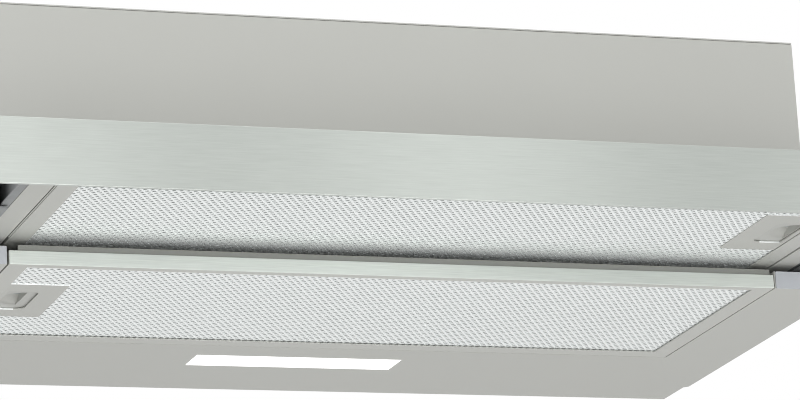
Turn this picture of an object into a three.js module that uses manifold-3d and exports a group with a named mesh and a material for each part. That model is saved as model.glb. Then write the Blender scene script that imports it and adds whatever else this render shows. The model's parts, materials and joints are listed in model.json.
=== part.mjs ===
// Pull-out range hood for a 60 cm wall cabinet, carriage drawn out.
// Millimetres, +X right, +Y to the wall, +Z up. The pieces are laid out from the front edge
// of the underside; the whole is then moved so that its origin is the centre of the back face.
import * as THREE from 'three';
import { mergeVertices } from 'three/addons/utils/BufferGeometryUtils.js';
import Module from 'manifold-3d';

const wasm = await Module();
wasm.setup();

// ---------------------------------------------------------------- driving dimensions
const SEAT_GAP = 0.3; // between pieces that rest on each other
const SHEET = 1; // folded steel sheet
const PLATE = 1.5; // slide brackets and panel brackets
const OVERCUT = 1; // how far a cutting solid reaches past what it cuts
const LAP = 0.5; // how far joined solids run into each other

// Base, the part below the cabinet
const BASE_WIDTH = 598;
const BASE_DEPTH = 300;
const BASE_HEIGHT = 39;
const BASE_FRONT_INSET = 1.3; // front edge of the sheet behind the end caps' faces
const SIDE_MEMBER_WIDTH = 49.8; // from the base's side to the filter opening
const REAR_STEP = 3; // each side is this much narrower towards the wall
const REAR_STEP_LENGTH = 38; // and from this far before the wall
const STRIP_LEDGE = 6.75; // the top strips reach this far in under the housing
const REAR_STRIP_WIDTH = 12;
const FLANGE_OVER_FILTER = 2.9; // the opening's flanges stand this much above the rear cassette

// End caps
const CAP_HEIGHT = 11;
const CAP_INSET = 0.6; // from the base's side
const CAP_CORNER = 0.8;
const CAP_PLUG_DEPTH = 14;
const CAP_WALL = 2;

// Housing, the box that goes up into the cabinet
const HOUSING_SIDE_INSET = 22.25; // the cabinet's side stands on the strip beside the housing
const HOUSING_FRONT = 5; // behind the base's front plane
const HOUSING_FRONT_LIFT = 2; // extra clearance under the front wall, over the carriage
const TOP_FLANGE = 12; // turned-down edge of the top plate
const FIXING_RADIUS = 2.1; // screw holes to the cabinet's sides
const FIXING_INSET = 60; // from the front plane and from the back
const FIXING_LOW = 70;
const FIXING_PITCH = 60;

// Grease filter cassettes, front and rear alike
const FILTER_DEPTH = 182;
const FILTER_HEIGHT = 8.6;
const FILTER_WALL = 0.9;
const FILTER_TRIM = 0.8; // brushed strip in front of the rear cassette
const FILTER_FRONT_BORDER = 7;
const FILTER_REAR_BORDER = 11.5;
const FILTER_SIDE_BORDER = 12.6;
const FILTER_TOP_BORDER = 6;
const FILTER_SEAM = 1; // dark line round the rear cassette
const CARRIAGE_SEAM = 2; // groove beside the front cassette
const NET_THICKNESS = 1;
const NET_COLUMNS = 21;
const NET_ROWS = 5;
const NET_STRAND = 3.2;
const TONGUE_REACH = 4;
const TONGUE_THICKNESS = 2;
const TONGUE_WIDTH = 16;
const TONGUE_RISE = 4; // underside of the fixed tongues above the cassette's underside
const TONGUE_SPREAD = 51; // each fixed tongue from the middle of the depth
const SLOT_SIDE_PLAY = 1;
const SLOT_PLAY_BELOW = 0.6;
const SLOT_PLAY_ABOVE = 1.6;

// Handle and latch of a cassette
const HANDLE_LENGTH = 37.4; // from the window's end inwards
const HANDLE_HALF_DEPTH = 38.3;
const HANDLE_CENTRE = 86.5; // behind the cassette's front
const HANDLE_RECESS = 0.6; // plate above the border's underside
const HANDLE_PLATE = 1;
const POCKET_MARGIN = 14.5; // from the plate's inner edge to the pocket
const POCKET_HALF_DEPTH = 22;
const POCKET_CORNER = 6;
const REAR_SCOOP_MARGIN = 6.3; // from the pocket's inner edge to the upright wall of the rear latch's scoop
const FRONT_SCOOP_MARGIN = 3.7; // and to the rim of the front latch's scoop
const SCOOP_RADIUS = 15;
const SCOOP_WALL = 0.9;
const SCOOP_RINGS = 4; // facets from the scoop's rim to its deepest point
const LATCH_PLATE = 1.2;
const LATCH_BEHIND = 5; // how far the slider reaches in past the pocket's inner edge
const LATCH_SIDE = 2.2; // and past the pocket on each side
const LATCH_TONGUE_WIDTH = 20;
const LATCH_TONGUE_THICKNESS = 2.2;
const LATCH_WINDOW_PLAY = 0.5; // round the tongue in the cassette's side
const NOTCH_SIDE_PLAY = 2; // round the tongue in its notch
const NOTCH_END_PLAY = 1.2;
const GUIDE_WALL = 1.4;
const GUIDE_INSET = 2;
const GUIDE_LAP = 0.3;
const NET_ROOM = 1; // net and pad stay this far from the handle's inner edge
const SPRING_RADIUS = 1.7;
const SPRING_WIRE = 0.32;
const SPRING_COILS = 7;
const SPRING_OFFSET = 11; // beside the scoop
const SPRING_RISE = 0.4; // axis above the middle of the guide
const SPRING_POST_THICKNESS = 1.4;
const SPRING_POST_WIDTH = 6;

// Carriage
const CARRIAGE_OUT = 158; // drawn out by this much in the rest position
const CARRIAGE_CLEARANCE = 3.9; // above the flanges round the base's opening
const CARRIAGE_TOP_ROOM = 4; // below the base's top
const CARRIAGE_TOP_FLANGE = 8;
const BAY_FLANGE_OVER_FILTER = 1;
const BAY_REAR_SEAM = 0.6;
const BAY_FRONT_SEAM = 0.4;
const FRONT_LIP = 3.6; // lip below the front cassette's front edge
const REAR_CROSS_DEPTH = 14;
const REAR_CROSS_HEIGHT = 6;
const ARM_WIDTH = 10; // underside of the arms behind the cross member
const ARM_END_WIDTH = 12;
const ARM_END_LOWER = 4;
const COVER_APRON = 3;
const COVER_APRON_INSET = 12;

// Front panel
const PANEL_CLOSED_GAP = 1.9; // to the end caps when the carriage is in
const PANEL_RETURN = 9.3;
const PANEL_HEM = 2.4;
const PANEL_TO_WALL = 10.6; // from the panel's face to the carriage's front wall
const PANEL_BRACKET_FROM_SIDE = 85; // from the carriage's side
const PANEL_BRACKET_WIDTH = 34;
const PANEL_BRACKET_HEIGHT = 14;
const PANEL_BRACKET_RISE = 2; // above the carriage's underside

// Telescopic slides
const RAIL_START = 8; // front end of the fixed member
const RAIL_SHEET = 1.2;
const RAIL_PITCH = 2; // step from one member's half height to the next
const RAIL_LIP = 5;
const RAIL_STEP = 1.3; // clearance between one member's web and the next
const RAIL_ROOM_BELOW = 0.6; // above the end cap's plug
const RAIL_ROOM_ABOVE = 1.4; // under the top strip
const RAIL_STOP_LENGTH = 6;
const RAIL_STOP_HEIGHT = 8;
const RAIL_WINDOW_LENGTH = 60;
const RAIL_WINDOW_HEIGHT = 6;
const BRACKET_WIDTH = 22.1; // from the slide to the base's side
const BRACKET_HOOK = 12;
const BRACKET_SHORTER = 20; // than the slide
const GUSSET_INSET = 20;
const GUSSET_TOP_WIDTH = 6;
const GUSSET_EDGE = 1; // below the bracket's top edge, and inside its outer wall

// Outlet
const OUTLET_BEHIND_BLOWER = 38;
const COLLAR_RADIUS = 60;
const COLLAR_WALL = 2;
const COLLAR_HEIGHT = 32.7; // above its ring
const COLLAR_LEAD_HEIGHT = 3; // slightly narrower mouth, for the duct
const COLLAR_LEAD = 0.8;
const RING_WIDTH = 11; // flat ring on the top plate, beyond the collar
const RING_THICKNESS = 2;
const LEDGE_WIDTH = 3.5; // ledge that the flaps lie on
const LEDGE_THICKNESS = 1.5;
const LEDGE_RISE = 2.7;
const LEDGE_SLOPE = 2;
const LEDGE_NOTCH_PLAY = 1;
const FLAP_THICKNESS = 1.2;
const FLAP_START = 4; // from the pin's axis to the plate
const FLAP_ROOM = 1; // all round, inside the collar
const PIN_RADIUS = 2;
const PIN_PLAY = 0.3;
const PIN_INSET = 0.5; // each end inside the collar's outside
const KNUCKLE_WALL = 1.2;
const KNUCKLE_END = 44; // outer end of the outer knuckles, from the middle
const KNUCKLE_OUTER = 16;
const KNUCKLE_INNER = 13;
const KNUCKLE_GAP = 1;

// Blower
const BLOWER_AT = 140; // axis behind the base's front plane
const BLOWER_ROOM = 3.5; // between the scroll and the carriage's cover
const IMPELLER_RADIUS = 44;
const IMPELLER_HALF = 44;
const BLADES = 28;
const BLADE_DEPTH = 10;
const BLADE_THICKNESS = 0.9;
const BLADE_LEAN = 38; // degrees between a blade's two edges, seen from the axis
const BLADE_INSET = 0.4; // blades inside the rings' edges
const IMPELLER_RING = 2;
const WEB_THICKNESS = 2;
const HUB_RADIUS = 11;
const HUB_LENGTH = 22;
const SHAFT_RADIUS = 4;
const SHAFT_PLAY = 0.3;
const SHAFT_PAST_HUB = 4;
const SHAFT_IN_MOTOR = 19;
const SCROLL_TIP_GAP = 5; // from the impeller to the scroll at its tongue
const SCROLL_GROWTH = 10; // and this much more at the outlet
const SCROLL_TONGUE = 55; // degrees above the outlet side
const SCROLL_STEPS = 30;
const SCROLL_SIDE_GAP = 5;
const SCROLL_WALL = 2;
const SCROLL_SEAM = 2.2; // rim along the joint between the halves
const SCROLL_SEAM_WIDTH = 3;
const SEAM_BELOW_MOUTH = 12;
const INLET_OVER_BLADES = 2; // inlet's radius beyond the blades' inner edges
const INLET_LIP = 3;
const INLET_LIP_WALL = 2;
const MOUTH_INNER = 10; // front wall of the mouth, behind the axis
const MOUTH_RISE = 2.5; // mouth above the scroll's largest radius
const MOTOR_RADIUS = 29;
const MOTOR_LENGTH = 44;
const MOTOR_SHOULDER = 3; // end bells are this much smaller
const MOTOR_BELL = 7; // and this long
const MOTOR_BOSS_RADIUS = 9;
const MOTOR_BOSS = 3;
const MOTOR_REAR_BOSS = 4;
const MOTOR_GAP = 6; // from the scroll's side to the motor
const STAY_WIDTH = 9; // motor bracket
const STAY_THICKNESS = 2;
const STAY_HUB_OVER_BOSS = 10;
const STAY_RIM_OVER_INLET = 9;
const CAPACITOR_RADIUS = 14;
const CAPACITOR_LENGTH = 52;
const CAPACITOR_INSET = 20; // from the electronics box's left side

// Electrics
const BOX_FROM_SIDE = 48.75; // from the housing's right side
const BOX_FRONT = 40; // behind the base's front plane
const BOX_WIDTH = 96;
const BOX_DEPTH = 72;
const BOX_HEIGHT = 36;
const BOX_WALL = 2;
const LID_THICKNESS = 1.6;
const LID_RIM = 1.5;
const LID_RIM_HEIGHT = 4;
const TERMINAL_POLES = 5;
const TERMINAL_PITCH = 8;
const TERMINAL_DEPTH = 18;
const TERMINAL_HEIGHT = 14;
const TERMINAL_INSET = 12; // from the box's left side
const TERMINAL_FROM_FRONT = 14;
const SCREW_WELL_RADIUS = 2.2;
const SCREW_WELL_DEPTH = 5;
const SCREW_WELL_AT = 6; // behind the block's front
const WIRE_ENTRY = 4;
const WIRE_ENTRY_BELOW = 8; // lower edge of the entries, from the top
const GLAND_RADIUS = 9;
const GLAND_NECK = 7.5;
const GLAND_BORE = 4.2;
const GLAND_RISE = 14;
const GLAND_FLANGE = 5;
const GLAND_FLANGE_OVER = 3; // flange's radius beyond the nose
const GLAND_NUT = 4;
const GLAND_NUT_OVER = 2;
const GLAND_DOME = 4;
const GLAND_DOME_INSET = 3;
const GLAND_FROM_REAR = 18; // from the box's rear side
const SWITCH_WIDTH = 12;
const SWITCH_DEPTH = 26;
const SWITCH_BODY_RISE = 6; // body above the base's sheet
const SWITCH_OVER_PLUNGER = 8;
const SWITCH_FOOT = 6;
const SWITCH_FOOT_SETBACK = 4;
const SWITCH_BEHIND = 20; // from the switch to the wall
const PLUNGER_RADIUS = 2;
const PLUNGER_INSET = 6; // axis from the inside of the carriage's side
const PLUNGER_STAND = 6; // how far the closed carriage stays from the switch
const PLUNGER_CLEARANCE = 0.4;
const PLUNGER_BORE_DEPTH = 12;
const PLUNGER_TRAVEL = 1.2;

// Light
const LIGHT_BEHIND_OPENING = 25;
const LIGHT_DEPTH = 27.6;
const LIGHT_WIDTH = 140.8;
const LIGHT_LIP = 3;
const LENS_LIP_THICKNESS = 1.4;
const LIGHT_HEIGHT = 9.3;
const LIGHT_WALL = 1.5;
const LIGHT_CABLE_RADIUS = 3;
const LIGHT_CABLE_INSET = 10;
const LED_COUNT = 10;
const LED_BOARD_DEPTH = 16;
const LED_BOARD_INSET = 2;
const LED_WIDTH = 3.5;
const LED_DEPTH = 2.8;
const LED_HEIGHT = 0.8;

// Controls
const CONTROL_FROM_SIDE = 23; // from the carriage's right side
const CONTROL_FROM_WALL = 8.6; // from the carriage's front wall
const CONTROL_DEPTH = 30;
const CONTROL_MARGIN = 4;
const CONTROL_BODY_INSET = 2;
const CONTROL_FLOOR = 1.2;
const BEZEL_THICKNESS = 1.6;
const BEZEL_CORNER = 3;
const BUTTON_COUNT = 4;
const BUTTON_WIDTH = 17;
const BUTTON_DEPTH = 20;
const BUTTON_PITCH = 21;
const BUTTON_HEIGHT = 7;
const BUTTON_RISE = 1.5; // above the bezel; also the travel
const BUTTON_FLOOR_PLAY = 0.5;
const BUTTON_GAP = 0.4;
const BUTTON_CORNER = 1.5;
const DISH_RADIUS = 30;
const DISH_DEPTH = 0.7;
const BOARD_THICKNESS = 1.4;
const BOARD_INSET = 4;

const ROUND = 36; // facets of a large circle
const SMALL_ROUND = 20;
const TINY_ROUND = 12;
const FULL_TURN = 360;

// ---------------------------------------------------------------- finishes
const finish = (color, roughness, metalness) => ({ color, roughness, metalness });
const PAINTED = finish(0xbdbdb8, 0.45, 0.3);
const BRUSHED = finish(0xc8cdc7, 0.35, 0.9);
const ALUMINIUM = finish(0xd8dcda, 0.35, 0.9);
const ZINC = finish(0xaeb2b3, 0.4, 0.9);
const CAP_PLASTIC = finish(0xb6babb, 0.5, 0);
const GREY_PLASTIC = finish(0x9a9c9b, 0.55, 0);
const BLACK_PLASTIC = finish(0x26282a, 0.5, 0);
const WHITE_PLASTIC = finish(0xe6e6e2, 0.5, 0);
const LATCH_PLASTIC = finish(0xacaca8, 0.5, 0);
const DIFFUSER = finish(0xfdfdfd, 0.4, 0);
const BOARD_GREEN = finish(0x2f6b46, 0.5, 0);
const STEEL = finish(0x9fa3a5, 0.3, 0.9);

// ---------------------------------------------------------------- shapes
const toRadians = THREE.MathUtils.degToRad;

function solidOf(geometry) {
  const plain = geometry.clone();
  plain.deleteAttribute('normal');
  plain.deleteAttribute('uv');
  const merged = mergeVertices(plain, 1e-5);
  return new wasm.Manifold(new wasm.Mesh({
    numProp: 3,
    vertProperties: new Float32Array(merged.attributes.position.array),
    triVerts: new Uint32Array(merged.index.array),
  }));
}

function geometryOf(solid) {
  const mesh = solid.getMesh();
  const geometry = new THREE.BufferGeometry();
  geometry.setAttribute('position', new THREE.BufferAttribute(mesh.vertProperties, 3));
  geometry.setIndex(new THREE.BufferAttribute(mesh.triVerts, 1));
  return geometry;
}

const join = (...solids) => solids.reduce((whole, next) => whole.add(next));
const cut = (solid, ...tools) => tools.reduce((left, tool) => left.subtract(tool), solid);

/** A box between two corners. */
function block(x0, x1, y0, y1, z0, z1) {
  const box = new THREE.BoxGeometry(x1 - x0, y1 - y0, z1 - z0);
  return solidOf(box.translate((x0 + x1) / 2, (y0 + y1) / 2, (z0 + z1) / 2));
}

/** A flat outline drawn in X and Y, raised from z0 to z1. */
function raised(shape, z0, z1, curveSegments = 8) {
  const body = new THREE.ExtrudeGeometry(shape, { depth: z1 - z0, bevelEnabled: false, curveSegments });
  return solidOf(body.translate(0, 0, z0));
}

/** An outline drawn in X and Z, run along Y from y0 to y1. */
function alongY(shape, y0, y1, curveSegments = 2) {
  const body = new THREE.ExtrudeGeometry(shape, { depth: y1 - y0, bevelEnabled: false, curveSegments });
  return solidOf(body.rotateX(Math.PI / 2).translate(0, y1, 0));
}

/** An outline drawn in Y and Z, run along X from x0 to x1. */
function alongX(shape, x0, x1, curveSegments = 8) {
  const body = new THREE.ExtrudeGeometry(shape, { depth: x1 - x0, bevelEnabled: false, curveSegments });
  const turn = new THREE.Matrix4().set(0, 0, 1, 0, 1, 0, 0, 0, 0, 1, 0, 0, 0, 0, 0, 1);
  return solidOf(body.applyMatrix4(turn).translate(x0, 0, 0));
}

/** A round bar: axis 'x', 'y' or 'z', from one end to the other at the two other coordinates. */
function bar(axis, from, to, a, b, radius, facets = SMALL_ROUND) {
  const body = new THREE.CylinderGeometry(radius, radius, to - from, facets);
  const middle = (from + to) / 2;
  if (axis === 'x') return solidOf(body.rotateZ(-Math.PI / 2).translate(middle, a, b));
  if (axis === 'y') return solidOf(body.translate(a, middle, b));
  return solidOf(body.rotateX(Math.PI / 2).translate(a, b, middle));
}

/** A flat ring about the X axis. */
function ringX(from, to, outer, inner) {
  return cut(
    bar('x', from, to, 0, 0, outer, ROUND),
    bar('x', from - OVERCUT, to + OVERCUT, 0, 0, inner, ROUND),
  );
}

/** A solid turned about Z from [radius, height] pairs. */
function turned(profile, facets = ROUND) {
  const points = profile.map(([radius, height]) => new THREE.Vector2(radius, height));
  return solidOf(new THREE.LatheGeometry(points, facets).rotateX(Math.PI / 2));
}

function polygon(points) {
  return new THREE.Shape(points.map(([a, b]) => new THREE.Vector2(a, b)));
}

/** A rectangle with rounded corners. */
function rounded(x0, x1, y0, y1, radius) {
  const shape = new THREE.Shape();
  shape.moveTo(x0 + radius, y0);
  shape.lineTo(x1 - radius, y0);
  shape.absarc(x1 - radius, y0 + radius, radius, -Math.PI / 2, 0);
  shape.lineTo(x1, y1 - radius);
  shape.absarc(x1 - radius, y1 - radius, radius, 0, Math.PI / 2);
  shape.lineTo(x0 + radius, y1);
  shape.absarc(x0 + radius, y1 - radius, radius, Math.PI / 2, Math.PI);
  shape.lineTo(x0, y0 + radius);
  shape.absarc(x0 + radius, y0 + radius, radius, Math.PI, Math.PI * 1.5);
  return shape;
}

function piece(name, solid, look, group) {
  const mesh = new THREE.Mesh(geometryOf(solid), new THREE.MeshStandardMaterial(look));
  mesh.name = name;
  group.add(mesh);
  return mesh;
}

const mirrored = (solid) => solid.mirror([1, 0, 0]);
const sided = (solid, side) => (side < 0 ? mirrored(solid) : solid);
const SIDES = [['left', -1], ['right', 1]];

// ---------------------------------------------------------------- shared lines
const baseHalf = BASE_WIDTH / 2;
const baseInside = baseHalf - SHEET;
const openingHalf = baseHalf - SIDE_MEMBER_WIDTH;
const openingRear = FILTER_DEPTH + FILTER_SEAM;
const openingFlange = FILTER_HEIGHT + FLANGE_OVER_FILTER;
const cassetteHalf = openingHalf - FILTER_SEAM;
const tongueEnd = cassetteHalf + TONGUE_REACH;
const notchHalf = LATCH_TONGUE_WIDTH / 2 + NOTCH_SIDE_PLAY;
const lightHalf = LIGHT_WIDTH / 2;
const lightFront = openingRear + LIGHT_BEHIND_OPENING;
const lightRear = lightFront + LIGHT_DEPTH;

const housingHalf = baseHalf - HOUSING_SIDE_INSET;
const shellBottom = BASE_HEIGHT + SEAT_GAP;

const slideThickness = RAIL_LIP + 2 * (RAIL_STEP + RAIL_SHEET);
const carriageHalf = baseInside - SEAT_GAP - BRACKET_WIDTH - SEAT_GAP - slideThickness - SEAT_GAP;
const carriageBottom = openingFlange + CARRIAGE_CLEARANCE;
const carriageTop = BASE_HEIGHT - CARRIAGE_TOP_ROOM;
const coverBottom = carriageTop + SEAT_GAP;
const coverTop = coverBottom + SHEET;

const switchFront = BASE_DEPTH - SWITCH_BEHIND - SWITCH_DEPTH;
const armRearClosed = switchFront - PLUNGER_STAND;
const armRear = armRearClosed - CARRIAGE_OUT;

const panelFront = -CARRIAGE_OUT - PANEL_CLOSED_GAP - PANEL_RETURN;
const frontWall = panelFront + PANEL_TO_WALL;
const cassetteFront = FILTER_TRIM + SEAT_GAP;
const frontFilterAt = frontWall + FRONT_LIP + BAY_FRONT_SEAM - cassetteFront;

const bladeInner = IMPELLER_RADIUS - BLADE_DEPTH;
const scrollStart = IMPELLER_RADIUS + SCROLL_TIP_GAP;
const scrollEnd = scrollStart + SCROLL_GROWTH;
const scrollHalf = IMPELLER_HALF + SCROLL_SIDE_GAP + SCROLL_WALL;
const inletRadius = bladeInner + INLET_OVER_BLADES;
const blowerAxis = coverTop + BLOWER_ROOM + scrollEnd + SCROLL_WALL + SCROLL_SEAM;
const mouthTop = scrollEnd + MOUTH_RISE;
const shellTop = blowerAxis + mouthTop;
const housingTop = shellTop + SEAT_GAP + SHEET;

// ---------------------------------------------------------------- base
function baseOutline(inset) {
  const wide = baseHalf - inset;
  const narrow = wide - REAR_STEP;
  const stepFrom = BASE_DEPTH - REAR_STEP_LENGTH;
  const half = [
    [wide, BASE_FRONT_INSET], [wide, stepFrom], [narrow, stepFrom + REAR_STEP], [narrow, BASE_DEPTH - inset],
  ];
  return polygon([...half, ...half.map(([x, y]) => [-x, y]).reverse()]);
}

/** Slots for a cassette's fixed tongues in a flange, for a cassette that starts at `front`. */
function tongueSlots(flangeFrom, rise, front) {
  const middle = front + FILTER_DEPTH / 2;
  const reach = TONGUE_WIDTH / 2 + SLOT_SIDE_PLAY;
  const slots = [-TONGUE_SPREAD, TONGUE_SPREAD].map((away) => block(
    flangeFrom - OVERCUT, flangeFrom + SHEET + OVERCUT, middle + away - reach, middle + away + reach,
    rise + TONGUE_RISE - SLOT_PLAY_BELOW, rise + TONGUE_RISE + TONGUE_THICKNESS + SLOT_PLAY_ABOVE,
  ));
  return join(...slots);
}

/** Notch for a cassette's latch tongue in a flange, open downwards. */
function latchNotch(flangeFrom, rise, front) {
  const centre = front + HANDLE_CENTRE;
  return block(flangeFrom - OVERCUT, tongueEnd + NOTCH_END_PLAY, centre - notchHalf, centre + notchHalf,
    rise - OVERCUT, rise + TONGUE_RISE + TONGUE_THICKNESS + NOTCH_SIDE_PLAY);
}

function makeBaseFrame() {
  const stripInner = housingHalf - STRIP_LEDGE;
  const tray = cut(
    raised(baseOutline(0), 0, BASE_HEIGHT),
    raised(baseOutline(SHEET), SHEET, BASE_HEIGHT - SHEET),
    block(-baseInside, baseInside, 0, BASE_FRONT_INSET + SHEET + OVERCUT, SHEET, BASE_HEIGHT - SHEET),
    block(-stripInner, stripInner, -OVERCUT, BASE_DEPTH - REAR_STRIP_WIDTH,
      BASE_HEIGHT - SHEET - OVERCUT, BASE_HEIGHT + OVERCUT),
    block(-openingHalf, openingHalf, 0, openingRear, -OVERCUT, SHEET + OVERCUT),
    block(-lightHalf - SEAT_GAP, lightHalf + SEAT_GAP, lightFront - SEAT_GAP, lightRear + SEAT_GAP,
      -OVERCUT, SHEET + OVERCUT),
  );
  const sides = SIDES.map(([, side]) => sided(
    block(openingHalf, openingHalf + SHEET, BASE_FRONT_INSET, openingRear + SHEET, 0, openingFlange), side));
  const rear = block(-openingHalf, openingHalf, openingRear, openingRear + SHEET, 0, openingFlange);
  return cut(join(tray, ...sides, rear), mirrored(latchNotch(openingHalf, 0, 0)),
    tongueSlots(openingHalf, 0, 0));
}

/** End cap: a face in front of the side channel and a hollow plug in the channel. */
function makeEndCap() {
  const inner = openingHalf + SHEET / 2;
  const faceBack = BASE_FRONT_INSET - SEAT_GAP;
  const outline = rounded(inner, baseHalf - CAP_INSET, 0, CAP_HEIGHT, CAP_CORNER);
  const face = alongY(outline, 0, faceBack);
  const x0 = openingHalf + SHEET + SEAT_GAP;
  const x1 = baseInside - SEAT_GAP;
  const z0 = SHEET + SEAT_GAP;
  const plug = cut(
    block(x0, x1, faceBack - LAP, CAP_PLUG_DEPTH, z0, CAP_HEIGHT),
    block(x0 + CAP_WALL, x1 - CAP_WALL, faceBack + CAP_WALL / 2, CAP_PLUG_DEPTH + OVERCUT,
      z0 + CAP_WALL, CAP_HEIGHT + OVERCUT),
  );
  return join(face, plug);
}

// ---------------------------------------------------------------- housing
const boxRight = housingHalf - BOX_FROM_SIDE;
const boxLeft = boxRight - BOX_WIDTH;
const boxRear = BOX_FRONT + BOX_DEPTH;
const glandX = (boxLeft + boxRight) / 2;
const glandY = boxRear - GLAND_FROM_REAR;

function makeHousingShell() {
  const walls = cut(
    block(-housingHalf, housingHalf, HOUSING_FRONT, BASE_DEPTH, shellBottom, shellTop),
    block(-housingHalf + SHEET, housingHalf - SHEET, HOUSING_FRONT + SHEET, BASE_DEPTH - SHEET,
      shellBottom - OVERCUT, shellTop + OVERCUT),
    block(-housingHalf - OVERCUT, housingHalf + OVERCUT, HOUSING_FRONT - OVERCUT, HOUSING_FRONT + SHEET,
      shellBottom - OVERCUT, shellBottom + HOUSING_FRONT_LIFT),
  );
  const places = [FIXING_INSET, BASE_DEPTH - FIXING_INSET].flatMap(
    (y) => [FIXING_LOW, FIXING_LOW + FIXING_PITCH].map((z) => [y, z]));
  const holes = SIDES.flatMap(([, side]) => places.map(([y, z]) => sided(
    bar('x', housingHalf - SHEET - OVERCUT, housingHalf + OVERCUT, y, z, FIXING_RADIUS, TINY_ROUND), side)));
  return cut(walls, ...holes);
}

function makeHousingTop() {
  const bottom = housingTop - SHEET;
  const edge = SHEET + SEAT_GAP;
  const plate = block(-housingHalf, housingHalf, HOUSING_FRONT, BASE_DEPTH, bottom, housingTop);
  const skirt = cut(
    block(-housingHalf + edge, housingHalf - edge, HOUSING_FRONT + edge, BASE_DEPTH - edge,
      housingTop - TOP_FLANGE, housingTop - LAP),
    block(-housingHalf + edge + SHEET, housingHalf - edge - SHEET, HOUSING_FRONT + edge + SHEET,
      BASE_DEPTH - edge - SHEET, housingTop - TOP_FLANGE - OVERCUT, bottom),
  );
  const below = bottom - OVERCUT;
  const above = housingTop + OVERCUT;
  const mouthHalf = scrollHalf - SCROLL_WALL;
  const airHole = bar('z', below, above, 0, BLOWER_AT + OUTLET_BEHIND_BLOWER, collarBore - LEDGE_WIDTH, ROUND)
    .intersect(block(-mouthHalf, mouthHalf, BLOWER_AT + MOUTH_INNER, BLOWER_AT + scrollEnd, below, above));
  return cut(join(plate, skirt), airHole, bar('z', below, above, glandX, glandY, GLAND_NECK + SEAT_GAP));
}

// ---------------------------------------------------------------- outlet collar and flaps
const ringBase = housingTop + SEAT_GAP;
const collarBase = ringBase + RING_THICKNESS + SEAT_GAP;
const collarBore = COLLAR_RADIUS - COLLAR_WALL;
const ledgeTop = LEDGE_RISE + LEDGE_THICKNESS;
const flapAxis = ledgeTop + SEAT_GAP + FLAP_THICKNESS / 2;
const knuckleRadius = PIN_RADIUS + PIN_PLAY + KNUCKLE_WALL;

function makeCollarRing() {
  const rim = COLLAR_RADIUS + RING_WIDTH;
  return turned([
    [collarBore, 0], [rim, 0], [rim, RING_THICKNESS], [collarBore, RING_THICKNESS], [collarBore, 0],
  ]);
}

/** Collar about its own axis, z measured from its seat on the ring. */
function makeCollar() {
  const body = turned([
    [collarBore, 0], [COLLAR_RADIUS, 0], [COLLAR_RADIUS, COLLAR_HEIGHT - COLLAR_LEAD_HEIGHT],
    [COLLAR_RADIUS - COLLAR_LEAD, COLLAR_HEIGHT], [collarBore, COLLAR_HEIGHT],
    [collarBore, ledgeTop], [collarBore - LEDGE_WIDTH, ledgeTop],
    [collarBore - LEDGE_WIDTH, LEDGE_RISE], [collarBore, LEDGE_RISE - LEDGE_SLOPE], [collarBore, 0],
  ]);
  const reach = knuckleRadius + LEDGE_NOTCH_PLAY;
  const ledgeBreak = block(-collarBore, collarBore, -reach, reach, 0, ledgeTop + OVERCUT)
    .intersect(bar('z', 0, COLLAR_HEIGHT, 0, 0, collarBore, ROUND));
  return cut(body, ledgeBreak,
    bar('x', -COLLAR_RADIUS - OVERCUT, COLLAR_RADIUS + OVERCUT, 0, flapAxis,
      PIN_RADIUS + SEAT_GAP, TINY_ROUND));
}

/** One flap about the pin's axis, lying level towards +Y. */
function makeFlap() {
  const radius = collarBore - FLAP_ROOM;
  const half = FLAP_THICKNESS / 2;
  const disc = bar('z', -half, half, 0, 0, radius, ROUND);
  const plate = disc.intersect(block(-radius, radius, FLAP_START, radius, -half - OVERCUT, half + OVERCUT));
  const innerEnd = KNUCKLE_END - KNUCKLE_OUTER - KNUCKLE_GAP;
  const knuckles = [[-KNUCKLE_END, -KNUCKLE_END + KNUCKLE_OUTER], [innerEnd - KNUCKLE_INNER, innerEnd]];
  const parts = knuckles.flatMap(([from, to]) => [
    bar('x', from, to, 0, 0, knuckleRadius, TINY_ROUND),
    block(from, to, 0, FLAP_START + LAP, -half, half),
  ]);
  const bore = bar('x', -radius, radius, 0, 0, PIN_RADIUS + PIN_PLAY, TINY_ROUND);
  return cut(join(plate, ...parts), bore);
}

function makeFlapPin() {
  return bar('x', -COLLAR_RADIUS + PIN_INSET, COLLAR_RADIUS - PIN_INSET, 0, 0, PIN_RADIUS, TINY_ROUND);
}

// ---------------------------------------------------------------- blower
/** Scroll outline in Y and Z about the axis, `grow` beyond the air space and `extra` above the mouth. */
function scrollOutline(grow, extra = 0) {
  const points = [];
  const span = FULL_TURN - SCROLL_TONGUE;
  for (let step = 0; step <= SCROLL_STEPS; step += 1) {
    const share = step / SCROLL_STEPS;
    const angle = toRadians(SCROLL_TONGUE + span * share);
    const radius = scrollStart + SCROLL_GROWTH * share + grow;
    points.push([Math.cos(angle) * radius, Math.sin(angle) * radius]);
  }
  points.push([scrollEnd + grow, mouthTop + extra]);
  if (extra) points.push([MOUTH_INNER - grow, mouthTop + extra]);
  points.push([MOUTH_INNER - grow, mouthTop]);
  return polygon(points);
}

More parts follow.
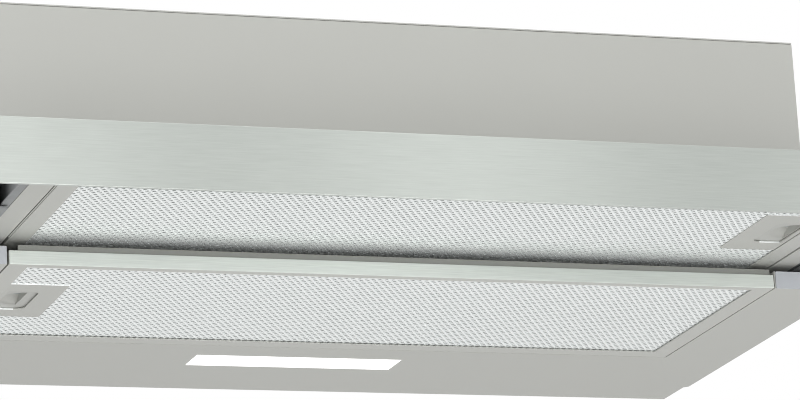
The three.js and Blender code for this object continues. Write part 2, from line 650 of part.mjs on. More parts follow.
/** The right half of the scroll housing about the blower's axis. */
function makeScrollHalf() {
  const joint = SEAT_GAP / 2;
  const inside = scrollHalf - SCROLL_WALL;
  const lipRadius = inletRadius + INLET_LIP_WALL;
  const shell = cut(
    alongX(scrollOutline(SCROLL_WALL), joint, scrollHalf),
    alongX(scrollOutline(0, OVERCUT), -OVERCUT, inside),
    bar('x', inside - OVERCUT, scrollHalf + OVERCUT, 0, 0, inletRadius, ROUND),
  );
  const lip = ringX(inside, scrollHalf + INLET_LIP, lipRadius, inletRadius);
  const seam = cut(
    alongX(scrollOutline(SCROLL_WALL + SCROLL_SEAM), joint, SCROLL_SEAM_WIDTH),
    alongX(scrollOutline(SCROLL_WALL / 2, OVERCUT), -OVERCUT, SCROLL_SEAM_WIDTH + OVERCUT),
    block(-OVERCUT, SCROLL_SEAM_WIDTH + OVERCUT, -scrollEnd * 2, scrollEnd * 2,
      mouthTop - SEAM_BELOW_MOUTH, mouthTop + OVERCUT),
  );
  return join(shell, lip, seam);
}

/** Double-inlet impeller about the X axis: hub, web, two end rings and forward-curved blades. */
function makeImpeller() {
  const web = bar('x', -WEB_THICKNESS / 2, WEB_THICKNESS / 2, 0, 0, IMPELLER_RADIUS, ROUND);
  const hub = bar('x', -HUB_LENGTH / 2, HUB_LENGTH / 2, 0, 0, HUB_RADIUS, SMALL_ROUND);
  const inner = bladeInner + BLADE_INSET;
  const outer = IMPELLER_RADIUS - BLADE_INSET;
  const back = [0, 0.5, 1].map((share) => {
    const radius = inner + (outer - inner) * share;
    const angle = toRadians(BLADE_LEAN / 2) * share * share;
    return [Math.cos(angle) * radius, Math.sin(angle) * radius];
  });
  const front = back.map(([a, b]) => [a, b + BLADE_THICKNESS]).reverse();
  const blade = alongX(polygon([...back, ...front]), -IMPELLER_HALF + LAP, IMPELLER_HALF - LAP);
  const blades = Array.from({ length: BLADES },
    (_, index) => blade.rotate([(FULL_TURN / BLADES) * index, 0, 0]));
  const rings = [
    ringX(-IMPELLER_HALF, -IMPELLER_HALF + IMPELLER_RING, IMPELLER_RADIUS, bladeInner),
    ringX(IMPELLER_HALF - IMPELLER_RING, IMPELLER_HALF, IMPELLER_RADIUS, bladeInner),
  ];
  const bore = bar('x', -HUB_LENGTH, HUB_LENGTH, 0, 0, SHAFT_RADIUS + SHAFT_PLAY, SMALL_ROUND);
  return cut(join(web, hub, ...rings, ...blades), bore);
}

const motorFace = -(scrollHalf + MOTOR_GAP);

function makeMotor() {
  const end = motorFace - MOTOR_LENGTH;
  const can = join(
    bar('x', end, motorFace, 0, 0, MOTOR_RADIUS - MOTOR_SHOULDER, ROUND),
    bar('x', end + MOTOR_BELL, motorFace - MOTOR_BELL, 0, 0, MOTOR_RADIUS, ROUND),
    bar('x', motorFace - LAP, motorFace + MOTOR_BOSS, 0, 0, MOTOR_BOSS_RADIUS, SMALL_ROUND),
    bar('x', end - MOTOR_REAR_BOSS, end + LAP, 0, 0, MOTOR_BOSS_RADIUS, SMALL_ROUND),
  );
  return cut(can, bar('x', motorFace - SHAFT_IN_MOTOR - OVERCUT, motorFace + MOTOR_BOSS + OVERCUT, 0, 0,
    SHAFT_RADIUS + SHAFT_PLAY));
}

function makeShaft() {
  return bar('x', motorFace - SHAFT_IN_MOTOR, HUB_LENGTH / 2 + SHAFT_PAST_HUB, 0, 0, SHAFT_RADIUS);
}

/** Ring round the inlet and ring at the motor's face, with three stays between them. */
function makeMotorBracket() {
  const face = motorFace + SEAT_GAP;
  const seat = -scrollHalf - INLET_LIP - SEAT_GAP;
  const hubRadius = MOTOR_BOSS_RADIUS + STAY_HUB_OVER_BOSS;
  const rimRadius = inletRadius + STAY_RIM_OVER_INLET;
  const half = STAY_WIDTH / 2;
  const stays = [0, 1, 2].map((index) => join(
    block(face, face + STAY_THICKNESS, hubRadius - half, rimRadius - half, -half, half),
    block(face, seat, rimRadius - half - STAY_THICKNESS, rimRadius - STAY_THICKNESS, -half, half),
  ).rotate([90 + (FULL_TURN / 3) * index, 0, 0]));
  return join(
    ringX(face, face + STAY_THICKNESS, hubRadius, hubRadius - STAY_WIDTH),
    ringX(seat - STAY_THICKNESS, seat, rimRadius, rimRadius - STAY_WIDTH),
    ...stays,
  );
}

// ---------------------------------------------------------------- electrics
function makeElectronicsBox() {
  const bottom = shellTop - BOX_HEIGHT;
  return cut(
    block(boxLeft, boxRight, BOX_FRONT, boxRear, bottom, shellTop),
    block(boxLeft + BOX_WALL, boxRight - BOX_WALL, BOX_FRONT + BOX_WALL, boxRear - BOX_WALL,
      bottom - OVERCUT, shellTop - BOX_WALL),
    bar('z', shellTop - BOX_WALL - OVERCUT, shellTop + OVERCUT, glandX, glandY, GLAND_NECK + SEAT_GAP),
  );
}

function makeElectronicsLid() {
  const top = shellTop - BOX_HEIGHT - SEAT_GAP;
  const inset = BOX_WALL + SEAT_GAP;
  const rim = cut(
    block(boxLeft + inset, boxRight - inset, BOX_FRONT + inset, boxRear - inset,
      top - LAP, top + LID_RIM_HEIGHT),
    block(boxLeft + inset + LID_RIM, boxRight - inset - LID_RIM, BOX_FRONT + inset + LID_RIM,
      boxRear - inset - LID_RIM, top - OVERCUT, top + LID_RIM_HEIGHT + OVERCUT),
  );
  return join(block(boxLeft, boxRight, BOX_FRONT, boxRear, top - LID_THICKNESS, top), rim);
}

/** Row of screw terminals: a screw well from below and a wire entry at the front of each. */
function makeTerminalBlock() {
  const x0 = boxLeft + TERMINAL_INSET;
  const y0 = BOX_FRONT + TERMINAL_FROM_FRONT;
  const top = shellTop - BOX_WALL - SEAT_GAP;
  const bottom = top - TERMINAL_HEIGHT;
  const entryBottom = top - WIRE_ENTRY_BELOW;
  const body = block(x0, x0 + TERMINAL_POLES * TERMINAL_PITCH, y0, y0 + TERMINAL_DEPTH, bottom, top);
  const wells = Array.from({ length: TERMINAL_POLES }, (_, pole) => {
    const x = x0 + TERMINAL_PITCH * (pole + 0.5);
    return join(
      bar('z', bottom - OVERCUT, bottom + SCREW_WELL_DEPTH, x, y0 + SCREW_WELL_AT,
        SCREW_WELL_RADIUS, TINY_ROUND),
      block(x - WIRE_ENTRY / 2, x + WIRE_ENTRY / 2, y0 - OVERCUT, y0 + WIRE_ENTRY,
        entryBottom, entryBottom + WIRE_ENTRY),
    );
  });
  return cut(body, ...wells);
}

/** Cable inlet: a nut below, a six-sided flange and a domed nose above the top plate. */
function makeGland() {
  const under = shellTop - BOX_WALL - SEAT_GAP;
  const seat = housingTop + SEAT_GAP;
  const top = seat + GLAND_RISE;
  const noseBase = seat + GLAND_FLANGE - LAP;
  const nose = turned([
    [0, noseBase], [GLAND_RADIUS, noseBase], [GLAND_RADIUS, top - GLAND_DOME],
    [GLAND_RADIUS - GLAND_DOME_INSET, top], [0, top],
  ], SMALL_ROUND).translate([glandX, glandY, 0]);
  return cut(join(
    bar('z', under - GLAND_NUT, under, glandX, glandY, GLAND_RADIUS + GLAND_NUT_OVER, 6),
    bar('z', under - LAP, seat + LAP, glandX, glandY, GLAND_NECK),
    bar('z', seat, seat + GLAND_FLANGE, glandX, glandY, GLAND_RADIUS + GLAND_FLANGE_OVER, 6),
    nose,
  ), bar('z', under - GLAND_NUT - OVERCUT, top + OVERCUT, glandX, glandY, GLAND_BORE));
}

function makeCapacitor() {
  const left = boxLeft + CAPACITOR_INSET;
  return bar('x', left, left + CAPACITOR_LENGTH, boxRear + SEAT_GAP + CAPACITOR_RADIUS,
    shellTop - CAPACITOR_RADIUS, CAPACITOR_RADIUS, ROUND);
}

const plungerX = carriageHalf - SHEET - PLUNGER_INSET;
const plungerHeight = (carriageBottom + carriageTop) / 2;

/** Switch on a foot that stands on the base's sheet, with a bore for its plunger. */
function makeMicroswitch() {
  const x0 = plungerX - SWITCH_WIDTH / 2;
  const x1 = x0 + SWITCH_WIDTH;
  const rear = switchFront + SWITCH_DEPTH;
  const seat = SHEET + SEAT_GAP;
  const body = block(x0, x1, switchFront, rear, seat + SWITCH_BODY_RISE, plungerHeight + SWITCH_OVER_PLUNGER);
  const foot = block(x0 - SWITCH_FOOT, x1, switchFront + SWITCH_FOOT_SETBACK, rear, seat,
    seat + SWITCH_BODY_RISE + LAP);
  const bore = bar('y', switchFront - OVERCUT, switchFront + PLUNGER_BORE_DEPTH, plungerX, plungerHeight,
    PLUNGER_RADIUS + SEAT_GAP);
  return cut(join(body, foot), bore);
}

function makePlunger() {
  const inner = switchFront + PLUNGER_BORE_DEPTH - PLUNGER_TRAVEL - LAP;
  return bar('y', armRearClosed + PLUNGER_CLEARANCE, inner, plungerX, plungerHeight, PLUNGER_RADIUS);
}

// ---------------------------------------------------------------- light
const lensTop = SHEET + SEAT_GAP + LENS_LIP_THICKNESS;
const lightTop = lensTop + SEAT_GAP + LIGHT_HEIGHT;

function makeLightLens() {
  const lip = SHEET + SEAT_GAP;
  return join(
    block(-lightHalf, lightHalf, lightFront, lightRear, 0, lip + LAP),
    block(-lightHalf - LIGHT_LIP, lightHalf + LIGHT_LIP, lightFront - LIGHT_LIP, lightRear + LIGHT_LIP,
      lip, lensTop),
  );
}

function makeLightHousing() {
  const x = lightHalf + LIGHT_LIP;
  const y0 = lightFront - LIGHT_LIP;
  const y1 = lightRear + LIGHT_LIP;
  const z0 = lensTop + SEAT_GAP;
  return cut(
    block(-x, x, y0, y1, z0, lightTop),
    block(-x + LIGHT_WALL, x - LIGHT_WALL, y0 + LIGHT_WALL, y1 - LIGHT_WALL,
      z0 - OVERCUT, lightTop - LIGHT_WALL),
    bar('z', lightTop - LIGHT_WALL - OVERCUT, lightTop + OVERCUT, -x + LIGHT_CABLE_INSET,
      y1 - LIGHT_CABLE_INSET, LIGHT_CABLE_RADIUS),
  );
}

function makeLightBoard() {
  const top = lightTop - LIGHT_WALL - SEAT_GAP;
  const bottom = top - BOARD_THICKNESS;
  const y = (lightFront + lightRear) / 2;
  const x = lightHalf - LED_BOARD_INSET;
  const board = block(-x, x, y - LED_BOARD_DEPTH / 2, y + LED_BOARD_DEPTH / 2, bottom, top);
  const pitch = (2 * x) / LED_COUNT;
  const leds = Array.from({ length: LED_COUNT }, (_, index) => {
    const at = -x + pitch * (index + 0.5);
    return block(at - LED_WIDTH / 2, at + LED_WIDTH / 2, y - LED_DEPTH / 2, y + LED_DEPTH / 2,
      bottom - LED_HEIGHT, bottom + LAP);
  });
  return join(board, ...leds);
}

// ---------------------------------------------------------------- slides
const railBottom = CAP_HEIGHT + RAIL_ROOM_BELOW;
const railTop = BASE_HEIGHT - SHEET - RAIL_ROOM_ABOVE;
const railCentre = (railBottom + railTop) / 2;
const outerHalf = (railTop - railBottom) / 2;
const middleHalf = outerHalf - RAIL_PITCH;
const innerHalf = middleHalf - RAIL_PITCH;
const railLength = armRearClosed - RAIL_START;
const innerWeb = carriageHalf + SEAT_GAP;
const middleWeb = innerWeb + RAIL_LIP + RAIL_STEP + RAIL_SHEET;
const outerWeb = middleWeb + RAIL_STEP + RAIL_SHEET;

/** C-section of a slide member: web away from or next to the carriage, lips towards the other side. */
function railProfile(web, lipTo, half) {
  const z0 = railCentre - half;
  const z1 = railCentre + half;
  const webFar = lipTo > web ? web + RAIL_SHEET : web - RAIL_SHEET;
  return polygon([
    [web, z0], [lipTo, z0], [lipTo, z0 + RAIL_SHEET], [webFar, z0 + RAIL_SHEET],
    [webFar, z1 - RAIL_SHEET], [lipTo, z1 - RAIL_SHEET], [lipTo, z1], [web, z1],
  ]);
}

function makeInnerRail() {
  const half = RAIL_STOP_HEIGHT / 2;
  const rail = alongY(railProfile(innerWeb, innerWeb + RAIL_LIP, innerHalf), 0, railLength);
  const stop = block(innerWeb, innerWeb + RAIL_LIP, railLength - RAIL_STOP_LENGTH, railLength,
    railCentre - half, railCentre + half);
  return join(rail, stop);
}

function makeMiddleRail() {
  const rail = alongY(railProfile(middleWeb, innerWeb + RAIL_SHEET, middleHalf), 0, railLength);
  const half = RAIL_WINDOW_HEIGHT / 2;
  const window = rounded((railLength - RAIL_WINDOW_LENGTH) / 2, (railLength + RAIL_WINDOW_LENGTH) / 2,
    railCentre - half, railCentre + half, half * 0.96);
  return cut(rail, alongX(window, innerWeb, middleWeb + OVERCUT, 3));
}

function makeOuterRail() {
  return alongY(railProfile(outerWeb, innerWeb + RAIL_SHEET + RAIL_STEP, outerHalf), 0, railLength);
}

/** Channel that carries the fixed member on the base's side wall, with two gussets. */
function makeRailBracket() {
  const x0 = outerWeb + SEAT_GAP;
  const x1 = baseInside - SEAT_GAP;
  const z0 = railBottom;
  const z1 = railTop;
  const length = railLength - BRACKET_SHORTER;
  const body = alongY(polygon([
    [x0, z0], [x1, z0], [x1, z0 + BRACKET_HOOK], [x1 - PLATE, z0 + BRACKET_HOOK], [x1 - PLATE, z0 + PLATE],
    [x0 + PLATE, z0 + PLATE], [x0 + PLATE, z1], [x0, z1],
  ]), 0, length);
  const gusset = polygon([
    [x0, z0], [x1 - GUSSET_EDGE, z0], [x0 + GUSSET_TOP_WIDTH, z1 - GUSSET_EDGE], [x0, z1 - GUSSET_EDGE],
  ]);
  return join(body, alongY(gusset, GUSSET_INSET, GUSSET_INSET + PLATE),
    alongY(gusset, length - GUSSET_INSET - PLATE, length - GUSSET_INSET));
}

// ---------------------------------------------------------------- carriage
const bayHalf = cassetteHalf + CARRIAGE_SEAM;
const bayRear = frontFilterAt + FILTER_DEPTH + BAY_REAR_SEAM;
const crossRear = bayRear + REAR_CROSS_DEPTH;
const bayFlangeTop = carriageBottom + FILTER_HEIGHT + BAY_FLANGE_OVER_FILTER;

function makeCarriageFrame() {
  const bottom = carriageBottom;
  const half = carriageHalf;
  const sideWall = [
    [half, bottom], [half, carriageTop], [half - CARRIAGE_TOP_FLANGE, carriageTop],
    [half - CARRIAGE_TOP_FLANGE, carriageTop - SHEET], [half - SHEET, carriageTop - SHEET],
    [half - SHEET, bottom + SHEET],
  ];
  const member = polygon([
    [bayHalf, bottom], ...sideWall, [bayHalf + SHEET, bottom + SHEET], [bayHalf + SHEET, bayFlangeTop],
    [bayHalf, bayFlangeTop],
  ]);
  const arm = polygon([[half - ARM_WIDTH, bottom], ...sideWall, [half - ARM_WIDTH, bottom + SHEET]]);
  const sides = SIDES.flatMap(([, side]) => [
    sided(alongY(member, frontWall, crossRear), side),
    sided(alongY(arm, crossRear - LAP, armRear), side),
    sided(block(half - ARM_END_WIDTH, half, armRear - SHEET, armRear,
      bottom, carriageTop - ARM_END_LOWER), side),
  ]);
  const lap = bayHalf + LAP;
  const front = join(
    block(-half, half, frontWall, frontWall + SHEET, bottom, carriageTop),
    block(-lap, lap, frontWall, frontWall + FRONT_LIP, bottom, bottom + SHEET),
  );
  const rear = join(
    block(-lap, lap, bayRear, bayRear + SHEET, bottom, bayFlangeTop),
    block(-lap, lap, bayRear, crossRear, bottom, bottom + SHEET),
    block(-half, half, crossRear - SHEET, crossRear, bottom, bottom + REAR_CROSS_HEIGHT),
  );
  return cut(join(...sides, front, rear), latchNotch(bayHalf, bottom, frontFilterAt),
    mirrored(tongueSlots(bayHalf, bottom, frontFilterAt)));
}

const controlWidth = BUTTON_COUNT * BUTTON_PITCH + 2 * CONTROL_MARGIN;
const controlRight = carriageHalf - CONTROL_FROM_SIDE;
const controlLeft = controlRight - controlWidth;
const controlFront = frontWall + CONTROL_FROM_WALL;
const controlRear = controlFront + CONTROL_DEPTH;

function makeCarriageCover() {
  const plate = block(-carriageHalf, carriageHalf, frontWall, crossRear, coverBottom, coverTop);
  const apron = block(-carriageHalf + COVER_APRON_INSET, carriageHalf - COVER_APRON_INSET, crossRear - SHEET,
    crossRear, carriageTop - COVER_APRON, coverTop);
  const opening = block(controlLeft + CONTROL_BODY_INSET, controlRight - CONTROL_BODY_INSET,
    controlFront + CONTROL_BODY_INSET, controlRear - CONTROL_BODY_INSET,
    coverBottom - OVERCUT, coverTop + OVERCUT);
  return cut(join(plate, apron), opening);
}

/** Folded panel: face, returns all round and a hem along the lower edge, open to the rear. */
function makeFrontPanel() {
  const back = panelFront + PANEL_RETURN;
  return cut(
    block(-baseHalf, baseHalf, panelFront, back, 0, BASE_HEIGHT),
    block(-baseInside, baseInside, panelFront + SHEET, back + OVERCUT, SHEET, BASE_HEIGHT - SHEET),
    block(-baseInside, baseInside, panelFront + PANEL_HEM, back + OVERCUT, -OVERCUT, SHEET + OVERCUT),
  );
}

/** Spacer between the panel and the carriage's front wall: a folded channel with two feet. */
function makePanelBracket() {
  const y0 = panelFront + SHEET + SEAT_GAP;
  const y1 = frontWall - SEAT_GAP;
  const z0 = carriageBottom + PANEL_BRACKET_RISE;
  const z1 = z0 + PANEL_BRACKET_HEIGHT;
  const half = PANEL_BRACKET_WIDTH / 2;
  return cut(
    block(-half, half, y0, y1, z0, z1),
    block(-half + PLATE, half - PLATE, y0 + PLATE, y1 - PLATE, z0 + PLATE, z1 + OVERCUT),
  );
}

// ---------------------------------------------------------------- controls
const bezelTop = coverTop + SEAT_GAP + BEZEL_THICKNESS;
const buttonBottom = bezelTop + BUTTON_RISE - BUTTON_HEIGHT;
const pocketFloor = buttonBottom - BUTTON_RISE - BUTTON_FLOOR_PLAY;
const controlBottom = pocketFloor - CONTROL_FLOOR;
const buttonMiddle = (index) => controlLeft + CONTROL_MARGIN + BUTTON_PITCH * (index + 0.5);
const buttonY = (controlFront + controlRear) / 2;

function makeControlHousing() {
  const inset = CONTROL_BODY_INSET + SEAT_GAP;
  const bezel = raised(rounded(controlLeft, controlRight, controlFront, controlRear, BEZEL_CORNER),
    coverTop + SEAT_GAP, bezelTop, 4);
  const body = block(controlLeft + inset, controlRight - inset, controlFront + inset, controlRear - inset,
    controlBottom, coverTop + SEAT_GAP + LAP);
  const halfX = BUTTON_WIDTH / 2 + BUTTON_GAP;
  const halfY = BUTTON_DEPTH / 2 + BUTTON_GAP;
  const pockets = Array.from({ length: BUTTON_COUNT }, (_, index) => block(
    buttonMiddle(index) - halfX, buttonMiddle(index) + halfX, buttonY - halfY, buttonY + halfY,
    pocketFloor, bezelTop + OVERCUT,
  ));
  return cut(join(bezel, body), ...pockets);
}

/** A push button about the middle of its underside, with a shallow finger dish. */
function makeButton() {
  const x = BUTTON_WIDTH / 2;
  const y = BUTTON_DEPTH / 2;
  const dishAxis = BUTTON_HEIGHT + DISH_RADIUS - DISH_DEPTH;
  return cut(raised(rounded(-x, x, -y, y, BUTTON_CORNER), 0, BUTTON_HEIGHT, 3),
    bar('x', -x - OVERCUT, x + OVERCUT, 0, dishAxis, DISH_RADIUS, 2 * ROUND));
}

function makeControlBoard() {
  const top = controlBottom - SEAT_GAP;
  return block(controlLeft + BOARD_INSET, controlRight - BOARD_INSET, controlFront + BOARD_INSET,
    controlRear - BOARD_INSET, top - BOARD_THICKNESS, top);
}

// ---------------------------------------------------------------- grease filters
// A cassette is drawn from its front edge and its middle, underside at z = 0, latch towards +X.
const windowHalf = cassetteHalf - FILTER_SIDE_BORDER;
const windowRear = FILTER_DEPTH - FILTER_REAR_BORDER;
const handleInner = windowHalf - HANDLE_LENGTH;
const handleFront = HANDLE_CENTRE - HANDLE_HALF_DEPTH;
const handleRear = HANDLE_CENTRE + HANDLE_HALF_DEPTH;
const pocketInner = handleInner + POCKET_MARGIN;
const plateTop = HANDLE_RECESS + HANDLE_PLATE;
const sliderBottom = plateTop + SEAT_GAP;
const sliderTop = sliderBottom + LATCH_PLATE;
const sliderHalf = POCKET_HALF_DEPTH + LATCH_SIDE;
const sliderInner = pocketInner - LATCH_BEHIND;
const cassetteInside = cassetteHalf - FILTER_WALL - SEAT_GAP;
const padFront = cassetteFront + FILTER_WALL + SEAT_GAP;
const padRear = FILTER_DEPTH - FILTER_WALL - SEAT_GAP;
const netBottom = FILTER_WALL + SEAT_GAP;
const netTop = netBottom + NET_THICKNESS;
const padTop = FILTER_HEIGHT - FILTER_WALL - SEAT_GAP;
const rearScoopWall = pocketInner + REAR_SCOOP_MARGIN;
const frontScoopWall = pocketInner + FRONT_SCOOP_MARGIN + SCOOP_RADIUS;
const scoopDepth = FILTER_HEIGHT - SEAT_GAP - SCOOP_WALL - sliderBottom;
const scoopBall = (SCOOP_RADIUS ** 2 + scoopDepth ** 2) / (2 * scoopDepth);
const scoopBallAt = sliderBottom + scoopDepth - scoopBall;
const guideInner = handleInner + GUIDE_INSET;

function makeFilterFrame() {
  const tongueHalf = LATCH_TONGUE_WIDTH / 2 + LATCH_WINDOW_PLAY;
  const body = cut(
    block(-cassetteHalf, cassetteHalf, cassetteFront, FILTER_DEPTH, 0, FILTER_HEIGHT),
    block(-cassetteHalf + FILTER_WALL, cassetteHalf - FILTER_WALL, cassetteFront + FILTER_WALL,
      FILTER_DEPTH - FILTER_WALL, FILTER_WALL, FILTER_HEIGHT - FILTER_WALL),
    block(-windowHalf, windowHalf, FILTER_FRONT_BORDER, windowRear, -OVERCUT, FILTER_WALL + OVERCUT),
    block(-cassetteHalf + FILTER_TOP_BORDER, cassetteHalf - FILTER_TOP_BORDER,
      cassetteFront + FILTER_TOP_BORDER, FILTER_DEPTH - FILTER_TOP_BORDER,
      FILTER_HEIGHT - FILTER_WALL - OVERCUT, FILTER_HEIGHT + OVERCUT),
    block(cassetteHalf - FILTER_WALL - OVERCUT, cassetteHalf + OVERCUT, HANDLE_CENTRE - tongueHalf,
      HANDLE_CENTRE + tongueHalf, sliderBottom - LATCH_WINDOW_PLAY,
      sliderBottom + LATCH_TONGUE_THICKNESS + LATCH_WINDOW_PLAY),
  );
  const tongues = [-TONGUE_SPREAD, TONGUE_SPREAD].map((away) => {
    const middle = FILTER_DEPTH / 2 + away;
    return block(-tongueEnd, -cassetteHalf + FILTER_WALL / 2, middle - TONGUE_WIDTH / 2,
      middle + TONGUE_WIDTH / 2, TONGUE_RISE, TONGUE_RISE + TONGUE_THICKNESS);
  });
  return join(body, ...tongues);
}

/** Room that net and pad leave for the handle and its guide. */
function handleRoom() {
  return block(handleInner - NET_ROOM, cassetteHalf, handleFront - SEAT_GAP, handleRear + SEAT_GAP,
    0, FILTER_HEIGHT);
}

/** Net with a pattern of diamond gaps, cut back where the handle stands. */
function makeNet() {
  const x = cassetteInside;
  const outline = polygon([[-x, padFront], [x, padFront], [x, padRear], [-x, padRear]]);
  const pitchX = (2 * windowHalf) / NET_COLUMNS;
  const pitchY = (windowRear - FILTER_FRONT_BORDER) / NET_ROWS;
  const halfX = (pitchX - NET_STRAND) / 2;
  const halfY = (pitchY - NET_STRAND) / 2;
  for (let column = 0; column < NET_COLUMNS; column += 1) {
    for (let row = 0; row < NET_ROWS; row += 1) {
      const cx = -windowHalf + pitchX * (column + 0.5);
      const cy = FILTER_FRONT_BORDER + pitchY * (row + 0.5);
      const beside = cy + halfY < handleFront - NET_STRAND || cy - halfY > handleRear + NET_STRAND;
      if (beside || cx + halfX < handleInner - NET_STRAND) {
        outline.holes.push(new THREE.Path([
          new THREE.Vector2(cx - halfX, cy), new THREE.Vector2(cx, cy + halfY),
          new THREE.Vector2(cx + halfX, cy), new THREE.Vector2(cx, cy - halfY),
        ]));
      }
    }
  }
  return cut(raised(outline, netBottom, netTop), handleRoom());
}

/** Pad of expanded metal layers above the net. */
function makeMedia() {
  const pad = block(-cassetteInside, cassetteInside, padFront, padRear, netTop + SEAT_GAP, padTop);
  return cut(pad, handleRoom());
}

/** Handle plate with the latch pocket, and the guide walls that stand on it. */
function makeHandle() {
  const c = HANDLE_CENTRE;
  const plate = block(handleInner, windowHalf - SEAT_GAP, handleFront, handleRear, HANDLE_RECESS, plateTop);
  const pocket = raised(rounded(pocketInner, windowHalf + 2 * POCKET_CORNER, c - POCKET_HALF_DEPTH,
    c + POCKET_HALF_DEPTH, POCKET_CORNER), HANDLE_RECESS - OVERCUT, plateTop + OVERCUT, 5);
  const guideHalf = sliderHalf + SEAT_GAP;
  const bottom = plateTop - GUIDE_LAP;
  const inner = block(guideInner, guideInner + GUIDE_WALL, c - guideHalf - GUIDE_WALL,
    c + guideHalf + GUIDE_WALL, bottom, padTop);
  const beside = [
    [c - guideHalf - GUIDE_WALL, c - guideHalf, handleFront, c - guideHalf],
    [c + guideHalf, c + guideHalf + GUIDE_WALL, c + guideHalf, handleRear],
  ].flatMap(([wallFrom, wallTo, shelfFrom, shelfTo]) => [
    block(guideInner, cassetteInside, wallFrom, wallTo, bottom, padTop),
    block(guideInner, cassetteInside, shelfFrom, shelfTo, bottom, netTop),
  ]);
  return join(cut(plate, pocket), inner, ...beside);
}

/** Half of a ball's cap above `bottom`, beside an upright wall at -wall, running out towards +X. */
function halfCap(ball, wall, bottom) {
  const widest = Math.acos((sliderBottom - scoopBallAt) / ball);
  const arc = Array.from({ length: SCOOP_RINGS + 1 }, (_, ring) => {
    const angle = widest * (1 - ring / SCOOP_RINGS);
    return [ball * Math.sin(angle), scoopBallAt + ball * Math.cos(angle)];
  });
  const foot = bottom - OVERCUT;
  const reach = 2 * SCOOP_RADIUS;
  return turned([[0, foot], [arc[0][0], foot], ...arc])
    .intersect(block(-wall, reach, -reach, reach, bottom, FILTER_HEIGHT));
}

/** Sliding latch: plate behind the pocket, finger scoop with its wall at wallAt, and a tongue. */
function makeLatch(wallAt, towards) {
  const c = HANDLE_CENTRE;
  const plate = block(sliderInner, cassetteInside, c - sliderHalf, c + sliderHalf, sliderBottom, sliderTop);
  const placed = (solid) => sided(solid, towards).translate([wallAt, c, 0]);
  const cup = placed(halfCap(scoopBall + SCOOP_WALL, SCOOP_WALL, sliderBottom));
  const hollow = placed(halfCap(scoopBall, 0, sliderBottom - OVERCUT));
  const tongue = block(cassetteInside - LATCH_TONGUE_THICKNESS, tongueEnd, c - LATCH_TONGUE_WIDTH / 2,
    c + LATCH_TONGUE_WIDTH / 2, sliderBottom, sliderBottom + LATCH_TONGUE_THICKNESS);
  const posts = [-SPRING_OFFSET, SPRING_OFFSET].map((away) => block(
    sliderInner, sliderInner + SPRING_POST_THICKNESS,
    c + away - SPRING_POST_WIDTH / 2, c + away + SPRING_POST_WIDTH / 2, sliderTop - LATCH_PLATE / 2, padTop,
  ));
  return cut(join(plate, cup, tongue, ...posts), hollow);
}

/** Compression spring between the guide's end wall and the latch, one unbroken wire along X. */
function makeLatchSpring() {
  const from = guideInner + GUIDE_WALL + SEAT_GAP + SPRING_WIRE;
  const to = sliderInner - SEAT_GAP - SPRING_WIRE;
  const y = HANDLE_CENTRE + SPRING_OFFSET;
  const z = (sliderBottom + padTop) / 2 + SPRING_RISE;
  const stepsPerCoil = 8;
  const steps = SPRING_COILS * stepsPerCoil;
  const sides = 5;
  const positions = [];
  const indices = [];
  const path = new THREE.CatmullRomCurve3(Array.from({ length: steps + 1 }, (_, step) => {
    const turn = (step / stepsPerCoil) * 2 * Math.PI;
    const x = from + ((to - from) * step) / steps;
    return new THREE.Vector3(x, y + Math.cos(turn) * SPRING_RADIUS, z + Math.sin(turn) * SPRING_RADIUS);
  }));
  const frames = path.computeFrenetFrames(steps, false);
  for (let step = 0; step <= steps; step += 1) {
    const centre = path.getPointAt(step / steps);
    for (let side = 0; side < sides; side += 1) {
      const angle = (side / sides) * 2 * Math.PI;
      const point = centre.clone()
        .addScaledVector(frames.normals[step], Math.cos(angle) * SPRING_WIRE)
        .addScaledVector(frames.binormals[step], Math.sin(angle) * SPRING_WIRE);
      positions.push(point.x, point.y, point.z);
    }
  }
  for (let step = 0; step < steps; step += 1) {
    for (let side = 0; side < sides; side += 1) {
      const a = step * sides + side;
      const b = step * sides + ((side + 1) % sides);
      indices.push(a, b, b + sides, a, b + sides, a + sides);
    }
  }
  const last = steps * sides;
  for (let side = 1; side < sides - 1; side += 1) {
    indices.push(0, side + 1, side);
    indices.push(last, last + side, last + side + 1);
  }
  const geometry = new THREE.BufferGeometry();
  geometry.setAttribute('position', new THREE.Float32BufferAttribute(positions, 3));
  geometry.setIndex(indices);
  return solidOf(geometry);
}

/** Adds one cassette's pieces to a group; side is where its latch points. */
function addCassette(prefix, side, group, latch) {
  const put = (name, solid, look) => piece(`${prefix}_${name}`, sided(solid, side), look, group);
  put('filter_frame', makeFilterFrame(), ALUMINIUM);
  put('filter_net', makeNet(), ALUMINIUM);
  put('filter_media', makeMedia(), ALUMINIUM);
  put('filter_handle', makeHandle(), PAINTED);
  put('filter_latch', latch, LATCH_PLASTIC);
  put('latch_spring', makeLatchSpring(), STEEL);
}

// ---------------------------------------------------------------- assembly
const hood = new THREE.Group();
hood.position.set(0, -BASE_DEPTH, -(shellBottom + shellTop) / 2);

piece('base_frame', makeBaseFrame(), PAINTED, hood);
piece('housing_shell', makeHousingShell(), PAINTED, hood);
piece('housing_top', makeHousingTop(), PAINTED, hood);

const outlet = new THREE.Group();
outlet.position.set(0, BLOWER_AT + OUTLET_BEHIND_BLOWER, collarBase);
hood.add(outlet);
piece('outlet_collar', makeCollar(), GREY_PLASTIC, outlet);
piece('collar_ring', makeCollarRing(), GREY_PLASTIC, outlet).position.z = ringBase - collarBase;
const flapGroup = new THREE.Group();
flapGroup.position.z = flapAxis;
outlet.add(flapGroup);
piece('flap_pin', makeFlapPin(), STEEL, flapGroup);
piece('rear_flap', makeFlap(), WHITE_PLASTIC, flapGroup);
piece('front_flap', makeFlap(), WHITE_PLASTIC, flapGroup).rotation.z = Math.PI;

